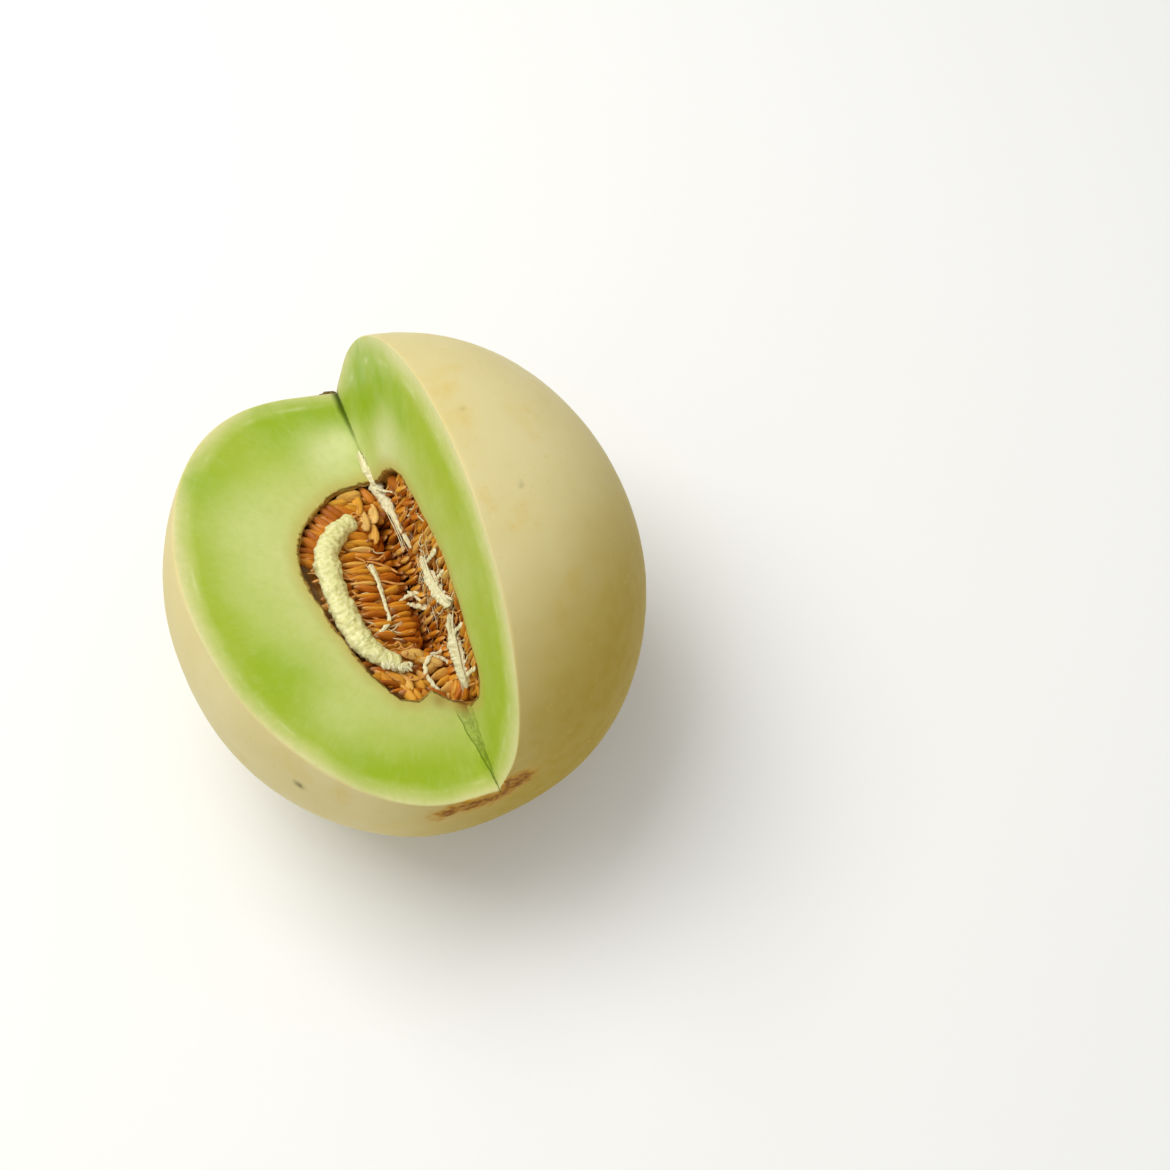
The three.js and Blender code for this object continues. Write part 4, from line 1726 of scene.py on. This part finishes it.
    def build_pulp(self) -> None:
        """Builds and dresses the pulp: a ball swollen until it meets the cavity's wall and the slopes."""
        turn = CUT.left_turn + self.heart_turns[0] if self.left else CUT.right_turn + self.heart_turns[1]
        heart = CUT.start + CUT.outward(turn) * self.heart_out + CUT.along * self.heart_along
        shape = bmesh.new()
        made = bmesh.ops.create_icosphere(shape, subdivisions=self.pulp_detail, radius=1.0)["verts"]
        ways = np.array([vert.co.normalized()[:] for vert in made])
        distances = self.wall_distances(np.array(heart), ways)
        for point, normal in self.pulp_limits():
            facing = np.maximum(ways @ np.array(normal), 1e-6)
            distances = np.minimum(distances, (point - heart).dot(normal) / facing)
        for vert, way, distance in zip(made, ways, distances):
            place = heart + Vector(way) * float(distance)
            lump = noise.fractal(place / self.pulp_lump_size, 0.8, 2.0, 3)
            sunk = max(0.0, self.pulp_sink - self.pulp_lumps * lump)
            vert.co = place - Vector(way) * sunk
        if self.left:
            for mound in MOUNDS:
                self.add_mound(shape, mound)
        self.mark_gap_shade(shape)
        finish_piece(shape, f"pulp_{self.side}", [PulpFinish().material()], "seeds",
                     f"seed_bed_{self.side}")

    def add_mound(self, shape: BMesh, mound: Mound) -> None:
        """Adds one mound of pulp between the beds.

        Args:
            shape: The pulp's shape.
            mound: The mound.
        """
        slope = Slope.of(Bed.MIDDLE)
        made = bmesh.ops.create_icosphere(shape, subdivisions=self.mound_detail, radius=1.0)["verts"]
        across, along, rise = mound.radii
        heart = slope.at(*mound.middle)
        for vert in made:
            way = vert.co.copy()
            lump = noise.fractal(way * self.mound_swell_rate + heart, 0.8, 2.0, 3)
            swollen = 1 + self.mound_swell * lump
            offset = slope.out * way.x * across + CUT.along * way.y * along + slope.normal * way.z * rise
            vert.co = heart + offset * swollen

    def mark_gap_shade(self, shape: BMesh) -> None:
        """Marks painted shade in the gap along the outer edge of the left-hand bed.

        Args:
            shape: The pulp's shape.
        """
        layer = shape.verts.layers.float.new("under")
        slope = Slope.of(Bed.LEFT)
        for vert in shape.verts:
            offset = vert.co - CUT.start
            out, along = offset.dot(slope.out), offset.dot(CUT.along)
            edge = self.gap_shade_out - self.gap_shade_bend * (along - self.gap_shade_middle) ** 2
            start, full = (edge + step for step in self.gap_shade_edge)
            dark = smooth_step(start, full, out) * smooth_step(*self.gap_shade_ends, along)
            vert[layer] = dark if self.left else 0.0

    def wall_distances(self, heart: np.ndarray, ways: np.ndarray) -> np.ndarray:
        """Distances from the pulp's heart to the cavity's wall along unit directions.

        Args:
            heart: Where the directions start.
            ways: One unit direction in each row.

        Returns:
            One distance for each direction.
        """
        low = np.zeros(len(ways))
        high = np.full(len(ways), 2.2 * CAVITY.half_length)
        for _ in range(self.wall_halvings):
            middle = (low + high) / 2
            inside = CAVITY.room(heart + ways * middle[:, None], self.inset) > 0
            low = np.where(inside, middle, low)
            high = np.where(inside, high, middle)
        return low


@dataclass(frozen=True)
class Strand:
    """A soft closed strand drawn along a route of [out, along, below] places on a slope."""

    bed: Bed
    route: tuple[Point, ...]
    width: float
    height: float
    sides: int = 8
    rings: int = 40
    lumps: float = 0.0
    lump_size: float = 1.6
    end_length: float = 2.0
    fray: float = 0.0
    swell: float = 0.0
    swell_length: float = 5.0
    underside_shade_range: Span = (-0.2, -0.9)
    widths: tuple[Span, ...] = ((0.0, 1.0), (1.0, 1.0))
    towards_notch: float = 0.0

    def add(self, shape: BMesh, shift: Callable[[float], Vector] | None = None,
            thickness: float = 1.0, start: float = 0.0) -> None:
        """Adds the strand.

        Args:
            shape: The bmesh to add to, with its layers.
            shift: Moves the route sideways at a share of its length, if given.
            thickness: Times its width and height.
            start: Shifts the streaks, so that no two strands match.
        """
        slope = Slope.of(self.bed)
        path = SoftPath([slope.at(*place) for place in self.route])
        normal = slope.normal.slerp(CUT.outward(CUT.middle_turn), self.towards_notch)
        marks, factors = zip(*self.widths)
        grain = shape.verts.layers.float_vector["grain"]
        under = shape.verts.layers.float["under"]
        made = bmesh.ops.create_uvsphere(shape, u_segments=self.sides, v_segments=self.rings,
                                         radius=1.0)["verts"]
        for vert in made:
            share = 1 - math.acos(max(-1.0, min(1.0, vert.co.z))) / math.pi
            angle = math.atan2(vert.co.x, vert.co.y)
            aside, above = math.sin(angle), math.cos(angle)
            end_gap = min(share, 1 - share) * path.length / self.end_length
            full = math.sqrt(max(0.0, 1 - (1 - min(1.0, end_gap)) ** 2)) * thickness
            swell_place = Vector((share * path.length / self.swell_length, start, 0.5))
            full *= 1 + self.swell * noise.noise(swell_place)
            full *= float(np.interp(share, marks, factors))
            heading = path.heading(share)
            sideways = heading.cross(normal).normalized()
            centre = path.at(share) + (shift(share) if shift else Vector())
            round_way = sideways * (aside * self.width / 2) + normal * (above * self.height / 2)
            place = centre + round_way * full
            if self.lumps:
                lump = noise.fractal(place / self.lump_size, 0.7, 2.1, 3)
                place += round_way.normalized() * self.lumps * full * lump
            vert.co = place
            vert[grain] = Vector((share * path.length + start, aside * 2 + start, above * 2))
            # The painted shade on the side that faces the slope.
            vert[under] = smooth_step(*self.underside_shade_range, above)


@dataclass
class PlacentaStrand:
    """The thick pale strand that lies on the left-hand bed, with its fringed end."""

    body: Strand = Strand(
        Bed.LEFT,
        ((12.4, 29.8, 2.2), (16.5, 28.4, 1.6), (22, 25, 1.6), (27, 20.2, 1.6), (29.6, 15.4, 1.4),
         (30.6, 8.5, 1.6), (31, 0, 1.8), (30.4, -7.5, 1.8), (29.8, -14.5, 1.8), (28, -20.6, 1.8),
         (24.6, -25.4, 1.8), (20.6, -28.6, 1.8), (16.4, -30.6, 2.2)),
        9.8, 7.2, sides=44, rings=280, lumps=0.62, lump_size=1.9, end_length=2.4, swell=0.16,
        widths=((0.0, 0.74), (0.2, 0.88), (0.4, 1.0), (0.7, 0.98), (0.86, 0.8), (1.0, 0.7)))
    tassel: Strand = Strand(Bed.LEFT, (), 1.0, 0.8, rings=14, lumps=0.3, lump_size=0.6, end_length=0.8)
    fringe: int = 34
    fringe_start: Span = (25.0, -28.8)
    fringe_run: Span = (-10.5, -2.6)
    fringe_jitter: float = 0.6
    tassel_reach: Span = (1.6, 3.6)
    tassel_size: Span = (0.7, 1.5)
    random_start: int = 7

    def build(self) -> None:
        """Builds and dresses the strand and its fringe."""
        random = Random(self.random_start)
        shape = new_soft_shape()
        self.body.add(shape)
        bmesh.ops.recalc_face_normals(shape, faces=shape.faces)
        finish_piece(shape, "placenta_strand_skin", [PLACENTA.material()], "placenta",
                     "placenta_strand")
        shape = new_soft_shape()
        for index in range(self.fringe):
            self.add_tassel(shape, index, random)
        bmesh.ops.recalc_face_normals(shape, faces=shape.faces)
        finish_piece(shape, "placenta_fringe", [WHITE_FIBRE.material()], "placenta")

    def add_tassel(self, shape: BMesh, index: int, random: Random) -> None:
        """Adds one short thread at the strand's lower end.

        Args:
            shape: The fringe's shape.
            index: Its number in the fringe.
            random: Draws its place, length and size.
        """
        share = index / (self.fringe - 1)
        out, along = (first + run * share + random.uniform(-self.fringe_jitter, self.fringe_jitter)
                      for first, run in zip(self.fringe_start, self.fringe_run))
        reach = random.uniform(*self.tassel_reach)
        route = ((out, along, 0.6), (out + random.uniform(-0.8, 0.8), along - reach * 0.5, 0.4),
                 (out + random.uniform(-1.6, 1.6), along - reach, random.uniform(0.6, 2.2)))
        size = random.uniform(*self.tassel_size)
        tassel = replace(self.tassel, route=route, width=size, height=size * self.tassel.height)
        tassel.add(shape, start=index * 3.0)


@dataclass
class FibreBundle:
    """A white fibre that frays at its ends: a soft ribbon with thin filaments round it."""

    name: str
    node: str
    body: Strand
    filaments: int
    twist: float
    random_start: int
    ribbon: float = 0.8
    thin: Span = (0.05, 0.13)
    ring_width: float = 0.42
    ring_height: float = 0.3

    def build(self) -> None:
        """Builds and dresses the bundle."""
        random = Random(self.random_start)
        shape = new_soft_shape()
        slope = Slope.of(self.body.bed)
        self.body.add(shape, thickness=self.ribbon)
        for index in range(self.filaments):
            phase = 2 * math.pi * index / self.filaments + random.uniform(-0.4, 0.4)
            spread = random.uniform(0.5, 1.0)

            def shift(share: float, phase: float = phase, spread: float = spread) -> Vector:
                """Moves the filament round the bundle's middle, wider at the frayed ends.

                Args:
                    share: How far along the bundle, from 0 to 1.
                    phase: Its first angle, in radians.
                    spread: How far out it lies.

                Returns:
                    The move.
                """
                ends = 1 + self.body.fray * abs(2 * share - 1) ** 3
                angle = phase + self.twist * share
                across = slope.out * math.cos(angle) * self.body.width * self.ring_width
                lift = slope.normal * math.sin(angle) * self.body.height * self.ring_height
                return (across + lift) * spread * ends

            filament = replace(self.body, height=self.body.width, lumps=0.1, sides=6)
            filament.add(shape, shift, thickness=random.uniform(*self.thin), start=index * 5.0)
        bmesh.ops.recalc_face_normals(shape, faces=shape.faces)
        finish_piece(shape, self.name, [WHITE_FIBRE.material()], "fibres", self.node)


BUNDLES: tuple[FibreBundle, ...] = (
    FibreBundle("side_fibre_threads", "side_fibre", Strand(
        Bed.LEFT,
        ((13.6, 11, 1.6), (13.2, 4, 1.4), (13.6, -2, 1.4), (14.2, -8, 1.4), (14.6, -12.4, 1.4),
         (17.6, -15.6, 1.6), (21.4, -17.8, 1.8)),
        2.3, 1.2, sides=14, rings=100, lumps=0.45, lump_size=0.9, fray=1.2, swell=0.3,
        widths=((0.0, 1.2), (0.4, 0.8), (1.0, 0.8))), 3, 3.0, 11),
    FibreBundle("cut_line_fibre_threads", "cut_line_fibre", Strand(
        Bed.MIDDLE,
        ((-0.4, 59, -0.5), (-0.2, 55, -1.3), (-0.2, 50.5, -1.6), (0, 46, -0.4), (0.7, 40, 0.6),
         (1.5, 34, 0.7), (2.5, 26, -0.2), (3.6, 19, -0.8), (4.4, 12, -1.3)),
        5.6, 2.4, sides=26, rings=200, lumps=1.0, lump_size=1.5, end_length=4.0, fray=0.9, swell=0.3,
        widths=((0.0, 0.25), (0.14, 0.6), (0.32, 1.2), (0.5, 1.0), (0.64, 0.55), (1.0, 0.35))),
        12, 1.4, 12),
    FibreBundle("upper_fibre_threads", "upper_fibre", Strand(
        Bed.RIGHT,
        ((13.4, 3.4, 1.4), (14.6, -4, 0.8), (16, -11, 0.8), (18.6, -17.4, 0.8), (22.6, -22.8, 1.4)),
        6.4, 2.2, sides=24, rings=150, lumps=1.2, lump_size=1.4, end_length=4.0, fray=0.9, swell=0.4,
        widths=((0.0, 0.4), (0.3, 0.8), (0.7, 1.0), (1.0, 0.7)), towards_notch=0.8),
        12, 1.4, 13),
    FibreBundle("lower_fibre_threads", "lower_fibre", Strand(
        Bed.RIGHT,
        ((18, -24, 1.4), (14.6, -28.4, 0.8), (12.2, -33.4, 0.8), (9.8, -38.4, 0.8), (7.4, -43, 0.8),
         (4.2, -47.4, 1.4)),
        7.2, 2.4, sides=24, rings=160, lumps=1.3, lump_size=1.5, end_length=4.0, fray=0.9, swell=0.4,
        widths=((0.0, 0.6), (0.5, 1.0), (0.75, 0.9), (1.0, 0.4)), towards_notch=0.8),
        12, 1.2, 14),
)


def scrap(bed: Bed, route: tuple[Point, ...], width: float, height: float) -> Strand:
    """A small loose strip of white tissue."""
    return Strand(bed, route, width, height, sides=14, rings=60, lumps=0.5, lump_size=1.3, end_length=3.0,
                  swell=0.4, towards_notch=0.7)


SCRAPS: tuple[Strand, ...] = (
    scrap(Bed.LEFT, ((-3.4, -25.0, 3.0), (-0.6, -28.0, 2.8), (3.6, -28.6, 2.6), (6.9, -31.8, 2.6),
                     (8.4, -35.4, 2.6), (7.5, -39.4, 2.8), (5.3, -43.0, 3.2)), 1.7, 0.9),
    scrap(Bed.LEFT, ((3.6, -28.6, 2.8), (-1.0, -31.0, 2.8), (-4.0, -35.0, 3.0)), 1.4, 0.8),
    scrap(Bed.LEFT, ((7.0, -4.8, 3.4), (0.9, -2.9, 3.0), (-4.5, -1.9, 2.8), (-8.4, -5.4, 2.8)), 1.7, 0.7),
    scrap(Bed.LEFT, ((7.6, -6.4, 3.4), (0.5, -8.1, 3.0), (-5.0, -12.6, 2.8)), 1.3, 0.7),
    scrap(Bed.LEFT, ((2.0, -1.0, 3.6), (-1.4, -6.4, 3.0), (-6.0, -16.6, 3.0)), 1.2, 0.7),
    scrap(Bed.MIDDLE, ((0.2, 41.0, -0.8), (5.4, 36.0, -3.4), (11.4, 30.5, -6.2)), 1.0, 0.7),
    scrap(Bed.RIGHT, ((9, -44.6, 1.2), (15, -46.2, 1.0), (22, -48, 1.0)), 1.8, 0.9),
    scrap(Bed.RIGHT, ((16, -1, 1.4), (24, -3, 1.0), (31, -4.8, 1.0)), 2.0, 0.9),
    scrap(Bed.RIGHT, ((16, -12, 1.0), (22, -11, 1.0), (30, -12.6, 1.2)), 1.5, 0.8),
    scrap(Bed.RIGHT, ((12, -30, 0.8), (19, -31, 1.0), (27, -33, 1.2)), 1.7, 0.8),
)


@dataclass(frozen=True)
class ThreadPatch:
    """A patch of fine loose threads over one slope."""

    bed: Bed
    out: Span
    along: Span
    below: float
    lean: float
    count: int


THREAD_PATCHES: tuple[ThreadPatch, ...] = (
    ThreadPatch(Bed.LEFT, (8, 22), (-30, 30), 2.4, 10, 10),
    ThreadPatch(Bed.RIGHT, (6, 30), (-46, 38), 2.0, -10, 30),
    ThreadPatch(Bed.RIGHT, (0, 14), (-20, 4), 1.6, 20, 14),
    ThreadPatch(Bed.RIGHT_SLOPE, (6, 18), (-34, 24), -1.2, -10, 10),
)

PULP_PATCHES: tuple[ThreadPatch, ...] = (
    ThreadPatch(Bed.LEFT, (8, 36), (-40, 36), 2.8, 10, 60),
    ThreadPatch(Bed.LEFT_SLOPE, (4, 16), (-38, 34), -1.0, 60, 30),
    ThreadPatch(Bed.RIGHT, (0, 32), (-50, 38), 2.4, 0, 100),
    ThreadPatch(Bed.RIGHT_SLOPE, (4, 18), (-38, 30), -1.2, 30, 40),
)


@dataclass
class LooseThreads:
    """Fine wet threads that cross between the seeds, with a few loose scraps among them."""

    name: str
    slot: str
    finish: StrandFinish
    patches: tuple[ThreadPatch, ...]
    scraps: tuple[Strand, ...] = ()
    sizes: Span = (0.25, 0.6)
    wander: float = 1.4
    lift: float = 0.7
    random_start: int = 23
    wall_room: float = 3.0
    lengths: Span = (6.0, 15.0)
    turn_jitter: float = 35.0

    def build(self) -> None:
        """Builds and dresses the threads."""
        random = Random(self.random_start)
        shape = new_soft_shape()
        for patch in self.patches:
            for index in range(patch.count):
                self.add_thread(shape, patch, index, random)
        for index, strip in enumerate(self.scraps):
            strip.add(shape, start=index * 11.0)
        bmesh.ops.recalc_face_normals(shape, faces=shape.faces)
        finish_piece(shape, self.name, [self.finish.material()], self.slot)

    def add_thread(self, shape: BMesh, patch: ThreadPatch, index: int, random: Random) -> None:
        """Adds one thread of four wandering points, if it stays inside the cavity.

        Args:
            shape: The threads' shape.
            patch: Where it may lie.
            index: Its number.
            random: Draws its route and size.
        """
        turn = math.radians(patch.lean + random.uniform(-self.turn_jitter, self.turn_jitter))
        length = random.uniform(*self.lengths)
        out = random.uniform(*patch.out)
        along = random.uniform(*patch.along)
        middle = (out, along, patch.below)
        way = (math.cos(turn) * length, math.sin(turn) * length, 0.0)
        limits = (self.wander, self.wander, self.lift)
        route = [tuple(start + run * (step / 3 - 0.5) + random.uniform(-limit, limit)
                       for start, run, limit in zip(middle, way, limits)) for step in range(4)]
        slope = Slope.of(patch.bed)
        places = np.array([slope.at(*place)[:] for place in route])
        if CAVITY.room(places).min() > self.wall_room:
            size = random.uniform(*self.sizes)
            Strand(patch.bed, tuple(route), size, size * 0.7, sides=6, rings=14, end_length=3.0).add(
                shape, start=index * 7.0)


# Studio


@dataclass(frozen=True)
class SoftLight:
    """A large soft light that looks at the fruit."""

    name: str
    way: Point
    distance: float
    size: float
    power: float
    colour: Point = (1.0, 1.0, 1.0)

    def build(self) -> None:
        """Adds the light."""
        data = bpy.data.lights.new(self.name, "AREA")
        data.energy = self.power
        data.size = self.size
        data.color = self.colour
        light = bpy.data.objects.new(self.name, data)
        way = Vector(self.way).normalized()
        light.location = FRUIT_MIDDLE * MM + way * self.distance
        light.rotation_euler = way.to_track_quat("Z", "Y").to_euler()
        bpy.context.scene.collection.objects.link(light)


@dataclass
class Studio:
    """Camera, plain pale floor, soft lights and a white surround.

    The camera stands where the photo's did, worked out from the fruit's outline and its cut line.
    """

    camera_place: Point = (-0.07617, -0.31372, 0.73965)
    camera_right: Point = (0.9045, -0.4265, 0.0)
    camera_up: Point = (0.3841, 0.8146, 0.4346)
    lens: float = 61.54
    sensor: float = 36.0
    floor_size: float = 8.0
    surround_strength: float = 0.57
    lights: tuple[SoftLight, ...] = (
        SoftLight("key", (-0.24, 0.32, 0.92), 1.3, 0.9, 12.6, (1.0, 0.99, 0.96)),
        SoftLight("fill", (-0.8, -0.5, 0.6), 1.6, 1.2, 1.2),
    )

    def add_camera(self) -> None:
        """Adds the camera that looks down on the notch."""
        data = bpy.data.cameras.new("camera")
        data.lens = self.lens
        data.sensor_width = self.sensor
        camera = bpy.data.objects.new("camera", data)
        right, up = Vector(self.camera_right).normalized(), Vector(self.camera_up).normalized()
        turned = Matrix((right, up, right.cross(up))).transposed().to_4x4()
        camera.matrix_world = Matrix.Translation(self.camera_place) @ turned
        bpy.context.scene.collection.objects.link(camera)
        bpy.context.scene.camera = camera

    def add_floor(self) -> None:
        """Adds the floor."""
        shape = bmesh.new()
        bmesh.ops.create_grid(shape, x_segments=1, y_segments=1, size=self.floor_size / 2)
        mesh = bpy.data.meshes.new("floor")
        shape.to_mesh(mesh)
        shape.free()
        floor = bpy.data.objects.new("floor", mesh)
        mesh.materials.append(FloorFinish().material())
        bpy.context.scene.collection.objects.link(floor)

    def add_surround(self) -> None:
        """Adds the white surround."""
        world = bpy.data.worlds.new("surround")
        world.use_nodes = True
        background = world.node_tree.nodes["Background"]
        background.inputs["Color"].default_value = (1.0, 1.0, 1.0, 1.0)
        background.inputs["Strength"].default_value = self.surround_strength
        bpy.context.scene.world = world
        bpy.context.scene.view_settings.view_transform = "Standard"

    def build(self) -> None:
        """Adds everything round the fruit."""
        self.add_camera()
        self.add_floor()
        self.add_surround()
        for light in self.lights:
            light.build()


def main() -> None:
    """Builds the melon piece by piece."""
    Studio().build()
    MelonFlesh().build()
    StemStub().build()
    for left in (True, False):
        bed = SeedBed(left)
        bed.build_pulp()
        bed.build_seeds()
    PlacentaStrand().build()
    for bundle in BUNDLES:
        bundle.build()
    LooseThreads("loose_threads", "fibres", WHITE_FIBRE, THREAD_PATCHES, SCRAPS).build()
    LooseThreads("pulp_threads", "seeds", PULP_FIBRE, PULP_PATCHES, sizes=(0.4, 1.1), random_start=31).build()


if __name__ == "__main__":
    logging.basicConfig(level=logging.INFO, format="%(message)s")
    main()
